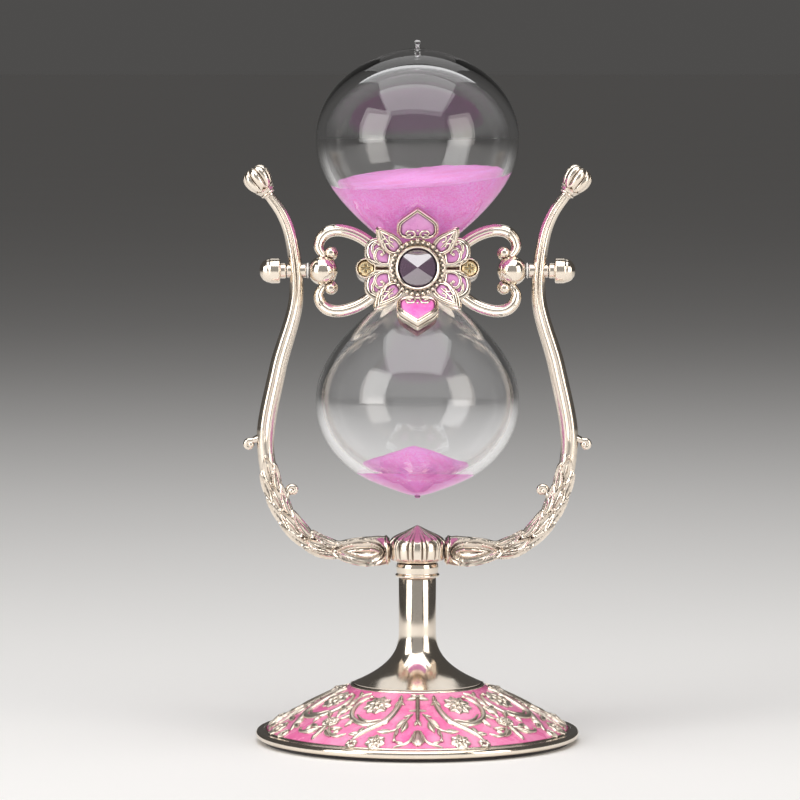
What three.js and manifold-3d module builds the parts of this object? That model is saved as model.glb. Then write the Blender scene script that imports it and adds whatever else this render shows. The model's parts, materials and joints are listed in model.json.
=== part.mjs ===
// A turn-over sand timer. A two-bulb glass is clamped at its waist between two flower-shaped plates.
// The plates hang on a horizontal pivot between the arms of a lyre-shaped yoke, which stands on a
// trumpet stem and a domed, enamelled base.
// Millimetres, +Z up. The origin is the centre of the underside, and the front faces -Y.

import * as THREE from "three";
import { mergeVertices } from "three/addons/utils/BufferGeometryUtils.js";
import Module from "manifold-3d";

const wasm = await Module();
wasm.setup();
const { PI, cos, sin, min } = Math;

// Driving dimensions
const BASE_R = 55;
const PAD_THICK = 1.2;
const RIM_TOP = 4.4; // height of the base's bright rim
const SKIRT_OUT = 51.4; // the enamelled skirt's outer and inner edges
const SKIRT_IN = 22;
const FOOT_Z = 19.3; // where the stem's foot sits on the base
const ENAMEL = 0.9; // enamel layer
const STEM_R = 6.35;
const STEM_TOP = 55.8;
const HUB_Z = 65; // height of the arms' inner ends
const HUB_R = 9.4;
const HUB_TIP = 73.6;
const PIVOT_Z = 160;
const REST_TILT = 6; // degrees; the glass rests with its top leaning back
const BULB_R = 34.4;
const BULB_MID = 44.3; // a bulb's widest circle, above or below the pivot
const BULB_RISE = 30.2; // from that circle to the bulb's end
const NECK_R = 3.5;
const WALL = 2.8; // glass wall
const UPPER_END = 4.4; // glass at the far end of each bulb
const LOWER_END = 3.2;
const SLEEVE_R = 6.2;
const PIN_R = 1.5;
const BORE_R = 1.58; // the pin's running hole in the arm
const BALL_X = 32;
const BALL_R = 4.7;
const BOSS_IN = 37.6; // the pivot boss on each arm runs from here to BOSS_OUT
const BOSS_OUT = 44.2;
const SCREW_X = 17.4; // the clamp screws, either side of the waist
const CUP_R = 9.6; // the round centre of each clamp plate
const CUP_FRONT = 13; // its front face, ahead of the pivot axis
const PETAL_THICK = 3;
const GAP = 0.1; // between pieces that rest on each other

const materials = {
  silver: new THREE.MeshStandardMaterial({ color: 0xd9d2c6, roughness: 0.16, metalness: 1 }),
  steel: new THREE.MeshStandardMaterial({ color: 0xb9b4ab, roughness: 0.3, metalness: 1 }),
  brass: new THREE.MeshStandardMaterial({ color: 0xd2b070, roughness: 0.22, metalness: 1 }),
  enamel: new THREE.MeshStandardMaterial({ color: 0xe0679f, roughness: 0.25, metalness: 0 }),
  glass: new THREE.MeshStandardMaterial({ color: 0xe9f0f2, roughness: 0.03, metalness: 0 }),
  crystal: new THREE.MeshStandardMaterial({ color: 0xf1e6f0, roughness: 0.02, metalness: 0 }),
  sand: new THREE.MeshStandardMaterial({ color: 0xf07fd8, roughness: 0.9, metalness: 0 }),
  rubber: new THREE.MeshStandardMaterial({ color: 0xd8d8d4, roughness: 0.6, metalness: 0 }),
  nylon: new THREE.MeshStandardMaterial({ color: 0xe8e6e0, roughness: 0.5, metalness: 0 }),
  felt: new THREE.MeshStandardMaterial({ color: 0x1c1a1b, roughness: 1, metalness: 0 }),
};

const group = new THREE.Group();
const tumbler = new THREE.Group(); // everything that turns over, drawn upright

tumbler.position.z = PIVOT_Z;
tumbler.rotation.x = (-REST_TILT * PI) / 180;
group.add(tumbler);

function add(name, shape, material, parent = group) {
  const geometry = shape.isBufferGeometry ? shape : surfaceOf(shape);
  const mesh = new THREE.Mesh(geometry, material);
  mesh.name = name;
  parent.add(mesh);
  return mesh;
}

// The same piece on both sides, the left one mirrored.
function addPair(name, shape, material, parent = group) {
  const right = add("right_" + name, shape, material, parent);
  const left = right.clone();
  left.name = "left_" + name;
  left.scale.x = -1;
  parent.add(left);
}

function solid(geometry) {
  const loose = geometry.index ? geometry.toNonIndexed() : geometry;
  const bare = new THREE.BufferGeometry().setAttribute("position", loose.getAttribute("position"));
  const merged = mergeVertices(bare, 1e-4);
  return new wasm.Manifold(
    new wasm.Mesh({
      numProp: 3,
      vertProperties: merged.attributes.position.array,
      triVerts: new Uint32Array(merged.index.array),
    }),
  );
}

function surfaceOf(made) {
  const mesh = made.getMesh();
  return new THREE.BufferGeometry()
    .setAttribute("position", new THREE.BufferAttribute(mesh.vertProperties, 3))
    .setIndex(new THREE.BufferAttribute(mesh.triVerts, 1));
}

const joined = (...shapes) => shapes.map(solid).reduce((a, b) => a.add(b));

// Turned about Z from [radius, height] pairs that run up the outside and back down any bore.
function turned(profile, segments = 36) {
  const points = profile.map(([r, z]) => new THREE.Vector2(r, z));
  return new THREE.LatheGeometry(points, segments).rotateX(PI / 2);
}

// The same, turned about X (along) or about Y (facing the front, heights counted forwards).
const turnedX = (profile, segments) => turned(profile, segments).rotateY(PI / 2);
const turnedFront = (profile, segments) => turned(profile, segments).rotateX(PI / 2);

// A closed [radius, height] profile needs its first point again at the end.
const closed = (profile) => [...profile, profile[0]];

const samples = (count, f) => Array.from({ length: count + 1 }, (_, i) => f(i / count));

// A rod of changing width and depth along a route in the XZ plane.
function bentRod(route, width, depth, sides, steps) {
  const rod = new THREE.CylinderGeometry(1, 1, 1, sides, steps);
  const at = rod.getAttribute("position");
  for (let i = 0; i < at.count; i++) {
    const t = min(1, Math.max(0, at.getY(i) + 0.5));
    const centre = route.getPointAt(t);
    const along = route.getTangentAt(t);
    const across = (at.getX(i) * width(t)) / 2;
    at.setXYZ(i, centre.x - along.z * across, (at.getZ(i) * depth(t)) / 2, centre.z + along.x * across);
  }
  return rod;
}

const routeXZ = (...points) =>
  new THREE.CatmullRomCurve3(points.map(([x, z]) => new THREE.Vector3(x, 0, z)), false, "centripetal");

// Straight stretches between [t, value] pairs.
function ramp(...stops) {
  return (t) => {
    const next = stops.findIndex(([at]) => at >= t);
    if (next <= 0) return stops[next < 0 ? stops.length - 1 : 0][1];
    const [t0, a] = stops[next - 1];
    const [t1, b] = stops[next];
    return a + ((b - a) * (t - t0)) / (t1 - t0);
  };
}

// ---- Base ----

// Height of the enamelled skirt: almost a cone, a little fuller halfway.
function skirtZ(r) {
  const u = (SKIRT_OUT - r) / (SKIRT_OUT - SKIRT_IN);
  return RIM_TOP + (FOOT_Z - RIM_TOP) * u + 2.2 * u * (1 - u);
}

const skirtCurve = (steps, drop) =>
  samples(steps, (u) => {
    const r = SKIRT_OUT + (SKIRT_IN - SKIRT_OUT) * u;
    return [r, skirtZ(r) - drop];
  });

function buildBase() {
  const webR = 18;
  const boltHole = 3.4;
  const web = 3.5; // thickness of the flat top that the bolt clamps
  add("felt_pad", turned([[0, 0], [52.4, 0], [52.4, PAD_THICK], [0, PAD_THICK]], 36), materials.felt);

  const shellWall = 3.6;
  const shell = [
    [47.5, PAD_THICK + GAP],
    [54.3, PAD_THICK + GAP],
    [BASE_R, PAD_THICK + 0.7],
    [BASE_R, RIM_TOP - 1],
    [BASE_R - 0.9, RIM_TOP],
    [SKIRT_OUT + 0.2, RIM_TOP],
    ...skirtCurve(4, ENAMEL + GAP),
    [SKIRT_IN - GAP, FOOT_Z],
    [boltHole, FOOT_Z],
    [boltHole, FOOT_Z - web],
    [webR, FOOT_Z - web],
    ...skirtCurve(3, shellWall).reverse().slice(1, 3),
  ];
  add("base_shell", turned(closed(shell), 36), materials.silver);

  const skirt = [...skirtCurve(4, 0), ...skirtCurve(4, ENAMEL).reverse()];
  add("enamel_skirt", turned(closed(skirt), 36), materials.enamel);

  const washerTop = FOOT_Z - web - GAP;
  const washer = [[3.3, washerTop - 1.2], [8, washerTop - 1.2], [8, washerTop], [3.3, washerTop]];
  add("tie_washer", turned(closed(washer), 12), materials.steel);

  const headTop = washerTop - 1.2 - GAP;
  const head = turned([[0, headTop - 4], [5.77, headTop - 4], [5.77, headTop], [0, headTop]], 6);
  const shank = turned([[0, headTop - 2], [3, headTop - 2], [3, HUB_Z - 2], [0, HUB_Z - 2]], 16);
  add("tie_bolt", joined(head, shank), materials.steel);
}

// ---- Stem, collar and hub ----

// The trumpet foot spreads as a power of the distance below the straight tube.
const trumpet = (u) => STEM_R + 15.35 * u ** 2.7;

function buildStem() {
  const footTop = FOOT_Z + 0.7;
  const flareTop = 38;
  const flare = samples(6, (s) => [trumpet(1 - s), footTop + (flareTop - footTop) * s]);
  const hollow = samples(3, (s) => [trumpet(0.86 * s) - 1.7, flareTop - 1 - (flareTop - footTop - 3) * s]);
  const stem = [
    [19, FOOT_Z + GAP],
    [SKIRT_IN - 0.3, FOOT_Z + GAP],
    ...flare,
    [STEM_R, STEM_TOP],
    [STEM_R - 1.7, STEM_TOP],
    ...hollow,
  ];
  add("stem", turned(closed(stem), 24), materials.silver);

  const collarTop = 60.8;
  const collar = [
    [4.5, STEM_TOP + GAP],
    [7.3, STEM_TOP + GAP],
    [7.5, STEM_TOP + 0.6],
    [7.3, STEM_TOP + 1.2],
    [7.0, STEM_TOP + 1.6],
    [7.3, collarTop - 1.2],
    [7.0, collarTop],
    [4.5, collarTop],
  ];
  add("hub_collar", turned(closed(collar), 24), materials.silver);

  // Eight lobes, each a broad facet between two ridges, drawn up to a point.
  const spigotEnd = 50;
  const body = turned(
    [
      [0, spigotEnd],
      [4.3, spigotEnd],
      [4.3, collarTop + GAP],
      [7.2, collarTop + GAP],
      [8.9, 62.4],
      [HUB_R, HUB_Z],
      [HUB_R, 67.6],
      [8.3, 69.4],
      [4.2, 71.4],
      [0, HUB_TIP],
    ],
    32,
  );
  const at = body.getAttribute("position");
  for (let i = 0; i < at.count; i++) {
    const lobed = at.getZ(i) > collarTop + 1;
    const swell = lobed ? 1 + 0.03 * cos(8 * Math.atan2(at.getY(i), at.getX(i))) : 1;
    at.setXYZ(i, at.getX(i) * swell, at.getY(i) * swell, at.getZ(i));
  }
  const holeTop = HUB_Z - 1.5;
  const boltHole = turned([[0, spigotEnd - 1], [3.2, spigotEnd - 1], [3.2, holeTop], [0, holeTop]], 16);
  const socket = turnedX([[0, -12], [2.7, -12], [2.7, 12], [0, 12]], 16).translate(0, 0, HUB_Z);
  const core = turnedX([[0, -5.6], [4, -5.6], [4, 5.6], [0, 5.6]], 8).translate(0, 0, HUB_Z);
  const sockets = solid(socket).subtract(solid(core)); // one blind socket on each side
  add("yoke_hub", solid(body).subtract(solid(boltHole)).subtract(sockets), materials.silver);
}

// ---- Yoke arms ----

const armRoute = routeXZ(
  [9.8, 65],
  [20, 64.6],
  [34.3, 67],
  [45.6, 78.6],
  [51.5, 100],
  [47.3, 126.7],
  [41, 151],
  [43, 172],
  [46, 179.6],
  [49.9, 185.2],
);

// A small curl like a fern tip: a root on the arm, then a spiral closing on its centre.
function curl(root, centre, radius, startAngle, turn) {
  const spiral = samples(8, (s) => {
    const angle = startAngle + turn * s;
    const r = radius * (1 - 0.55 * s);
    return [centre[0] + r * cos(angle), centre[1] + r * sin(angle)];
  });
  return bentRod(routeXZ(root, ...spiral), ramp([0, 2.2], [0.3, 1.5], [1, 1.1]), () => 1.8, 6, 14);
}

function buildArms() {
  // Thick teardrop beside the hub, then a rod that thins towards the top.
  const width = ramp(
    [0, 7.6],
    [0.026, 10.2],
    [0.075, 6.9],
    [0.2, 6.4],
    [0.45, 6.1],
    [0.62, 5.8],
    [0.85, 4.5],
    [1, 3.5],
  );
  const rod = bentRod(armRoute, width, (t) => 0.92 * width(t), 8, 30);
  const tenon = turnedX([[0, 6], [2.5, 6], [2.5, 13], [0, 13]], 16).translate(0, 0, HUB_Z);
  const boss = turnedX([[0, BOSS_IN], [2.5, BOSS_IN], [2.5, BOSS_OUT], [0, BOSS_OUT]], 16);
  const boreFrom = BOSS_IN - 2;
  const boreTo = BOSS_OUT + 2;
  const bore = turnedX([[0, boreFrom], [BORE_R, boreFrom], [BORE_R, boreTo], [0, boreTo]], 16);
  const outerCurl = curl([52.6, 102.9], [57, 100.9], 1.45, 0.62 * PI, -1.5 * PI);
  const innerCurl = curl([45.2, 83], [42.3, 85.4], 1.45, 0.1 * PI, 1.5 * PI);
  const arm = joined(rod, tenon, outerCurl, innerCurl, boss.translate(0, 0, PIVOT_Z));
  addPair("arm", arm.subtract(solid(bore.translate(0, 0, PIVOT_Z))), materials.silver);

  // A closed bud in a flared calyx, in line with the arm's end.
  const bud = turned(
    [
      [0, 0], [1.9, 0], [2.5, 1.6], [4.1, 2.8], [3.1, 3.2],
      [4.3, 5.2], [4.6, 7.4], [3.9, 9.6], [2.2, 10.9], [0, 11.2],
    ],
    20,
  );
  const end = armRoute.getPointAt(1);
  const along = armRoute.getTangentAt(1);
  const lean = Math.atan2(along.x, along.z);
  bud.rotateY(lean).translate(end.x + GAP * sin(lean), 0, end.z + GAP * cos(lean));
  addPair("finial", bud, materials.silver);
}

// ---- Pivot ----

function buildPivot() {
  const washer = closed([[1.7, 36.75], [2.6, 36.75], [2.6, 37.4], [1.7, 37.4]]);
  addPair("pivot_washer", turnedX(washer, 14), materials.nylon, tumbler);

  const pin = [[0, 30.6], [PIN_R, 30.6], [PIN_R, 50], [0, 50]];
  addPair("pivot_pin", turnedX(pin, 16), materials.steel, tumbler);

  // An acorn knob: neck, parallel collar and dome, tapped from its inner end.
  const knob = [
    [1.6, BOSS_OUT + 0.2],
    [2.7, BOSS_OUT + 0.2],
    [2.7, 46.5],
    [4.3, 46.6],
    [4.3, 50.4],
    ...samples(4, (s) => [4.1 * cos((s * PI) / 2), 50.6 + 2.8 * sin((s * PI) / 2)]),
    [0, 50.3],
    [1.6, 50.3],
  ];
  addPair("pivot_knob", turnedX(closed(knob), 18), materials.silver, tumbler);
}

// A side bracket: pivot ball, two opposed scrolls ending in volutes, and a tongue for the clamp screw.
function buildBrackets() {
  const scroll = routeXZ(
    [14.5, 8],
    [19.2, 11.4],
    [26.4, 13.7],
    [31.6, 12.1],
    [33.4, 8.2],
    [32.2, 4.6],
    [30, 3.9],
  );
  const thickness = ramp([0, 3.8], [0.6, 3.7], [0.85, 2.7], [1, 2]);
  const upper = joined(
    bentRod(scroll, thickness, thickness, 8, 12),
    new THREE.SphereGeometry(2, 8, 6).translate(29.6, 0, 5.5),
  );
  const ball = new THREE.SphereGeometry(BALL_R, 16, 10).translate(BALL_X, 0, 0);
  const button = turnedX([[0, 27.2], [2.2, 27.6], [3, 28.2], [2.2, 29.4], [0, 29.4]], 14);
  const tongue = new THREE.BoxGeometry(4.2, 3, 18).translate(15.3, 0, 0);
  const eye = turnedFront([[0, -1.5], [3.3, -1.5], [3.3, 1.5], [0, 1.5]], 18).translate(SCREW_X, 0, 0);
  const bore = turnedX([[0, 30.3], [1.6, 30.3], [1.6, 40], [0, 40]], 20);
  const flat = new THREE.BoxGeometry(4, 12, 12).translate(36.6 + 2, 0, 0);
  const screwHole = turnedFront([[0, -3], [1.7, -3], [1.7, 3], [0, 3]], 16).translate(SCREW_X, 0, 0);
  const bracket = upper
    .add(upper.mirror([0, 0, 1]))
    .add(joined(ball, button, tongue, eye))
    .subtract(joined(bore, flat))
    .subtract(solid(screwHole));
  addPair("bracket", bracket, materials.silver, tumbler);
}

// ---- Glass ----

const curvePoints = (steps, ...p) => {
  const [a, b, c, d] = p.map(([x, y]) => new THREE.Vector2(x, y));
  return new THREE.CubicBezierCurve(a, b, c, d).getPoints(steps).map((q) => [q.x, q.y]);
};

// Outer surface from the waist to the widest circle; `out` swells the whole of it.
const waistCurve = (steps, out) => [
  ...curvePoints(steps, [NECK_R, 0], [NECK_R, 5.2], [12.5, 10.2], [20.5, 18.1]).slice(0, -1),
  ...curvePoints(steps, [20.5, 18.1], [27.5, 25], [BULB_R, 33.5], [BULB_R, BULB_MID]),
].map(([r, z]) => [r + out, z]);

// The dome beyond the widest circle, up to a small circle round the axis.
const dome = (steps, r, rise) =>
  samples(steps, (s) => [r * cos(1.5 * s), BULB_MID + rise * sin(1.5 * s)]).slice(1);

// The bulb's inside from its end down to the waist, `inset` further in than the glass.
function bore(steps, inset, endWall) {
  const side = waistCurve(steps, -WALL - inset).filter(([r, z]) => z > 6 && r > 1.3);
  const rise = BULB_RISE - endWall - inset;
  const throat = 1.2 - min(inset, 0.3);
  const end = dome(steps, BULB_R - WALL - inset, rise);
  const up = [[throat, 0], [throat, 2.5], ...side, ...end, [0, BULB_MID + rise]];
  return up.reverse();
}

function buildGlass() {
  const segments = 26;
  // The end is drawn out to a short sealed nib.
  const outside = [...waistCurve(4, 0), ...dome(4, BULB_R, BULB_RISE)];
  const bulb = (endWall, nib) => turned([...bore(4, 0, endWall), ...outside, ...nib], segments);
  const upper = bulb(UPPER_END, [[1.3, 75], [0.8, 76.2], [1.1, 77.4], [0.8, 78.1], [0, 78.4]]);
  const lower = bulb(LOWER_END, [[1.3, 75], [1.2, 76.2], [0.8, 76.8], [0, 77]]).rotateX(PI);
  add("upper_bulb", upper.translate(0, 0, GAP), materials.glass, tumbler);
  add("lower_bulb", lower.translate(0, 0, -GAP), materials.glass, tumbler);

  // A soft sleeve that follows the waist.
  const hugging = waistCurve(4, GAP).filter(([, z]) => z < 4.2);
  const half = hugging[hugging.length - 1][1];
  const inner = [...hugging.slice(1).map(([r, z]) => [r, -z]).reverse(), ...hugging].reverse();
  const sleeve = closed([[SLEEVE_R, -half], [SLEEVE_R, half], ...inner]);
  add("neck_sleeve", turned(sleeve, segments), materials.rubber, tumbler);

  // Sand: the upper fill has slumped towards the front left, the lower is a low heap in the bowl.
  const lowest = 3;
  const fill = (endWall) => {
    const inside = bore(4, 0.35, endWall).filter(([, z]) => z > lowest);
    return solid(turned([...inside, [0.9, lowest], [0, lowest]].reverse(), segments));
  };
  const air = new THREE.BoxGeometry(90, 90, 60).translate(0, 0, 30);
  air.rotateX(0.2).rotateY(-0.07).translate(0, 0, 31.1);
  add("upper_sand", fill(UPPER_END).subtract(solid(air)), materials.sand, tumbler);

  const pile = [[0, -90], [30, -90], [30, -68], [19, -66.3], [11, -63.9], [4.5, -60.6], [0, -59.4]];
  const bowl = fill(LOWER_END).rotate([180, 0, 0]);
  add("lower_sand", bowl.intersect(solid(turned(pile, segments))), materials.sand, tumbler);
}

// ---- Clamp plates ----

// Petal outlines: X across, Y outwards from the middle of the plate.
function spadeShape() {
  const shape = new THREE.Shape();
  shape.moveTo(-3.6, 8);
  shape.lineTo(-4.6, 13.6);
  shape.bezierCurveTo(-7.6, 14.6, -7.8, 18.4, -5.4, 20.6);
  shape.lineTo(-0.7, 26.6);
  shape.quadraticCurveTo(0, 27.3, 0.7, 26.6);
  shape.lineTo(5.4, 20.6);
  shape.bezierCurveTo(7.8, 18.4, 7.6, 14.6, 4.6, 13.6);
  shape.lineTo(3.6, 8);
  return shape;
}

function leafShape() {
  const shape = new THREE.Shape();
  shape.moveTo(-3.6, 8);
  shape.lineTo(-4.4, 12);
  shape.quadraticCurveTo(-2.6, 17.4, 0, 22.6);
  shape.quadraticCurveTo(2.8, 19.6, 4.2, 15.4);
  shape.lineTo(3.6, 8);
  return shape;
}

// A petal plate that leans forward by `lean` from the cup's edge and points at `turn` from straight up.
function petal(shape, lean, turn, foot) {
  const extrusion = { depth: PETAL_THICK, bevelEnabled: false, curveSegments: 3 };
  const plate = new THREE.ExtrudeGeometry(shape, extrusion);
  return plate
    .rotateX(PI / 2)
    .translate(0, 0, -9)
    .rotateX(lean)
    .translate(0, -foot, 9)
    .rotateY(turn);
}

function lobe(x, z) {
  return turnedFront([[0, 9.8], [4.4, 9.8], [4.7, 11.2], [4.4, 12.6], [0, 12.6]], 12).translate(x, 0, z);
}

function clampPlate(tapped) {
  const cup = turnedFront([[0, 2.5], [CUP_R, 2.5], [CUP_R, CUP_FRONT], [0, CUP_FRONT]], 24);
  const pieces = [cup];
  for (const turn of [0, PI]) pieces.push(petal(spadeShape(), 0.838, turn, 11.2));
  for (const k of [1, 3, 5, 7]) pieces.push(petal(leafShape(), 0.52, (k * PI) / 4, 10));
  for (const x of [-13.1, 13.1]) for (const z of [-5.5, 5.5]) pieces.push(lobe(x, z));
  for (const x of [-SCREW_X, SCREW_X])
    pieces.push(turnedFront([[0, 1.6], [3.4, 1.6], [3.4, CUP_FRONT], [0, CUP_FRONT]], 14).translate(x, 0, 0));

  // The back is hollowed to the glass's waist, with room for the sleeve.
  const waist = waistCurve(4, 0.7).slice(0, 7);
  const top = waist[waist.length - 1][1];
  const hollow = [[0, -top], ...waist.slice(1).map(([r, z]) => [r, -z]).reverse(), ...waist, [0, top]];
  const sleeveRoom = turned([[0, -4.2], [SLEEVE_R + GAP, -4.2], [SLEEVE_R + GAP, 4.2], [0, 4.2]], 18);
  let plate = joined(...pieces).subtract(solid(turned(hollow, 18))).subtract(solid(sleeveRoom));

  // A recess for the stone's point, and a clear round face for the bezel.
  const seat = turnedFront([[0, CUP_FRONT - 1], [6, CUP_FRONT - 1], [6, 20], [0, 20]], 18);
  const face = turnedFront([[0, CUP_FRONT], [CUP_R + 0.1, CUP_FRONT], [CUP_R + 0.1, 30], [0, 30]], 24);
  plate = plate.subtract(solid(seat)).subtract(solid(face));
  for (const x of [-SCREW_X, SCREW_X]) {
    const hole = tapped
      ? [[0, 0], [1.65, 0], [1.65, 9.6], [0, 9.6]]
      : [[0, 0], [1.65, 0], [1.65, 10.2], [2.85, 10.2], [2.85, 20], [0, 20]];
    plate = plate.subtract(solid(turnedFront(hole, 12).translate(x, 0, 0)));
  }
  return surfaceOf(plate);
}

// A rear piece is the front one turned half round the glass.
function addBothFaces(name, front, rear, material) {
  add("front_" + name, front, material, tumbler);
  add("rear_" + name, rear.rotateZ(PI), material, tumbler);
}

function buildClamp() {
  addBothFaces("clamp_plate", clampPlate(false), clampPlate(true), materials.silver);

  const bezel = () =>
    turnedFront(
      closed([
        [6.55, CUP_FRONT + GAP],
        [9.5, CUP_FRONT + GAP],
        [9.5, CUP_FRONT + 0.9],
        [8.9, CUP_FRONT + 1.4],
        [7.8, CUP_FRONT + 1.2],
        [7.2, CUP_FRONT + 2],
        [6.55, CUP_FRONT + 1.7],
      ]),
      24,
    );
  addBothFaces("bezel", bezel(), bezel(), materials.silver);

  // An eight-sided pointed stone, a little taller than wide.
  const crystal = () =>
    turnedFront(
      [
        [0, CUP_FRONT - 0.8], [5.2, CUP_FRONT - 0.8],
        [6.3, CUP_FRONT + 0.6], [6.3, CUP_FRONT + 1.1], [0, CUP_FRONT + 4],
      ],
      8,
    ).scale(1, 1, 1.03);
  addBothFaces("crystal", crystal(), crystal(), materials.crystal);

  const head = turnedFront([[0, 10.3], [2.7, 10.3], [2.7, 11.4], [2, 12], [0, 12]], 18);
  const shank = turnedFront([[0, -9.2], [1.45, -9.2], [1.45, 10.6], [0, 10.6]], 14);
  const slots = joined(
    new THREE.BoxGeometry(3.2, 1, 0.7).translate(0, -12, 0),
    new THREE.BoxGeometry(0.7, 1, 3.2).translate(0, -12, 0),
  );
  const screw = joined(head, shank).subtract(slots).translate([SCREW_X, 0, 0]);
  addPair("clamp_screw", screw, materials.brass, tumbler);
}

buildBase();
buildStem();
buildArms();
buildPivot();
buildBrackets();
buildGlass();
buildClamp();

export default group;
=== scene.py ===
"""Looks for the turn-over hourglass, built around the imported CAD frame.

Lengths are millimetres until a mesh is made. The cradle's pieces are drawn upright with the pivot at
the origin, and are then tilted into their rest position.
"""
import json
import math

import bpy
import numpy as np
from mathutils import Matrix, Vector


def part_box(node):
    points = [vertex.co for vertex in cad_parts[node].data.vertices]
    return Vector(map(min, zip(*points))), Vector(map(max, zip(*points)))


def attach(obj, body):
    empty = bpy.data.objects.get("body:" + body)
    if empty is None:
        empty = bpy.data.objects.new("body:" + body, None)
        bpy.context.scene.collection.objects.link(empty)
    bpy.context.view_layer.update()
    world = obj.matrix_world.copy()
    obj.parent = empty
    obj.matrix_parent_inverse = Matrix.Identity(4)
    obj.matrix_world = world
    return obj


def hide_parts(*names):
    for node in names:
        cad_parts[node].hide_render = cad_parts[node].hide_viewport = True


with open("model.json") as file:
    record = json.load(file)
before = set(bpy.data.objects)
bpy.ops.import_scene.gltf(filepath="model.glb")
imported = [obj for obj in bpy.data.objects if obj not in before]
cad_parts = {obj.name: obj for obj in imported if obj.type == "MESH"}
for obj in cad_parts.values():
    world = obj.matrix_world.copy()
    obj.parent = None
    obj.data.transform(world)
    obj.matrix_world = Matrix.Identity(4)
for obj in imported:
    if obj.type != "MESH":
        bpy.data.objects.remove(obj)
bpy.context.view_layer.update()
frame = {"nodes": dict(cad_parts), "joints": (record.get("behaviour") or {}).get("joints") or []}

MM = 0.001
PI = math.pi


def node_mm(node):
    """Lowest and highest corners of a CAD node in millimetres."""
    low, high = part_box(node)
    return low / MM, high / MM


# ---- Driving dimensions ----

REST_TILT = 6.0  # degrees; the glass rests with its top leaning back
PIVOT_Z = frame["joints"][0]["pos_m"][2] / MM
PAD_TOP = node_mm("felt_pad")[1].z
BASE_R = node_mm("base_shell")[1].x
RIM_TOP = 4.4  # height of the base's bright rim
SKIRT_OUT = node_mm("enamel_skirt")[1].x
SKIRT_IN = 22.0
SKIRT_FOOT_Z = node_mm("enamel_skirt")[1].z
ENAMEL = 0.9  # thickness of the enamel layer
FOOT_Z = node_mm("stem")[0].z
STEM_R = 6.35
STEM_TOP = node_mm("stem")[1].z
HUB_TIP = node_mm("yoke_hub")[1].z
BULB_R = 34.4
BULB_MID = 44.3  # a bulb's widest circle, above or below the pivot
BULB_RISE = 30.2  # from the widest circle to the end
NECK_R = 3.5
WALL = 2.8  # glass at the sides
UPPER_END, LOWER_END = 4.4, 3.2  # glass at the far ends
CONTACT = 0.06  # the sand is pressed against the glass
BALL_X = 32.0  # middle of a pivot ball
BALL_R = 5.0
SCREW_X = 17.4

UNTURNED = Matrix.Identity(4)
MIRROR_X = Matrix.Scale(-1, 4, (1, 0, 0))
UPSIDE_DOWN = Matrix.Scale(-1, 4, (0, 0, 1))
HALF_TURN = Matrix.Rotation(PI, 4, "Z")
FRONTWARDS = Matrix.Rotation(PI / 2, 4, "X")  # turns +Z to the front
ALONG_X = Matrix.Rotation(PI / 2, 4, "Y")  # turns +Z to +X
TO_PIVOT = Matrix.Translation((0, 0, PIVOT_Z))
CRADLE = TO_PIVOT @ Matrix.Rotation(math.radians(-REST_TILT), 4, "X")
SIDES = (("right", UNTURNED), ("left", MIRROR_X))


# ---- Mesh tools ----

class Shape:
    """Vertices in millimetres and faces, gathered from simple grids."""

    def __init__(self):
        self.points = []
        self.faces = []
        self.slots = []
        self.count = 0

    def add(self, points, faces, slots):
        """Adds faces on new points. slots holds each face's material."""
        self.points.append(np.asarray(points, float).reshape(-1, 3))
        self.faces.extend([tuple(i + self.count for i in face) for face in faces])
        self.slots.extend(slots)
        self.count += len(self.points[-1])
        return self

    def placed(self, place):
        """Points and faces under a matrix. A mirroring turns the faces round."""
        m = np.array(place)
        points = np.concatenate(self.points) @ m[:3, :3].T + m[:3, 3]
        if np.linalg.det(m[:3, :3]) < 0:
            return points, [face[::-1] for face in self.faces]
        return points, self.faces

    def join(self, other, place=UNTURNED):
        return self.add(*other.placed(place), other.slots)


def grid(rows, caps=True, loop=False, slot=0):
    """A surface through closed rows of points. The end rows are capped, or joined if it is a loop."""
    rows = np.asarray(rows, float)
    n, m = rows.shape[:2]
    faces = []
    for i in range(n if loop else n - 1):
        a, b = i * m, (i + 1) % n * m
        faces.extend([(a + j, a + (j + 1) % m, b + (j + 1) % m, b + j) for j in range(m)])
    if caps and not loop:
        faces.append(tuple(range(m - 1, -1, -1)))
        faces.append(tuple((n - 1) * m + j for j in range(m)))
    return Shape().add(rows, faces, [slot] * len(faces))


def turned(profile, segments=128, shape=None, loop=False):
    """A surface of revolution about Z. profile is [radius, height] pairs, upwards on the outside.
    shape(angle, radius, height) may change the radius. A loop profile closes on itself."""
    profile = np.asarray(profile, float)
    angle = even_turn(segments)
    r = profile[:, 0][:, None] * np.ones(segments)
    z = profile[:, 1][:, None] * np.ones(segments)
    if shape:
        r = shape(angle[None, :], r, z)
    rows = np.stack([r * np.cos(angle), r * np.sin(angle), z], axis=2)
    if loop:
        return grid(rows, loop=True)
    return drop_axis(grid(rows, caps=False))


def even_turn(count):
    """Even angles round a circle."""
    return np.arange(count) * 2 * PI / count


def drop_axis(made):
    """Merges the points that lie together on the axis and drops the faces that vanish."""
    points = np.concatenate(made.points)
    keys = {}
    remap = []
    kept = []
    for p in points:
        key = (round(p[0], 5), round(p[1], 5), round(p[2], 5))
        if key not in keys:
            keys[key] = len(kept)
            kept.append(p)
        remap.append(keys[key])
    faces = []
    for face in made.faces:
        ring = []
        for i in face:
            j = remap[i]
            if not ring or ring[-1] != j:
                ring.append(j)
        if ring[0] == ring[-1]:
            ring.pop()
        if len(ring) > 2:
            faces.append(tuple(ring))
    return Shape().add(kept, faces, [0] * len(faces))


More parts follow.
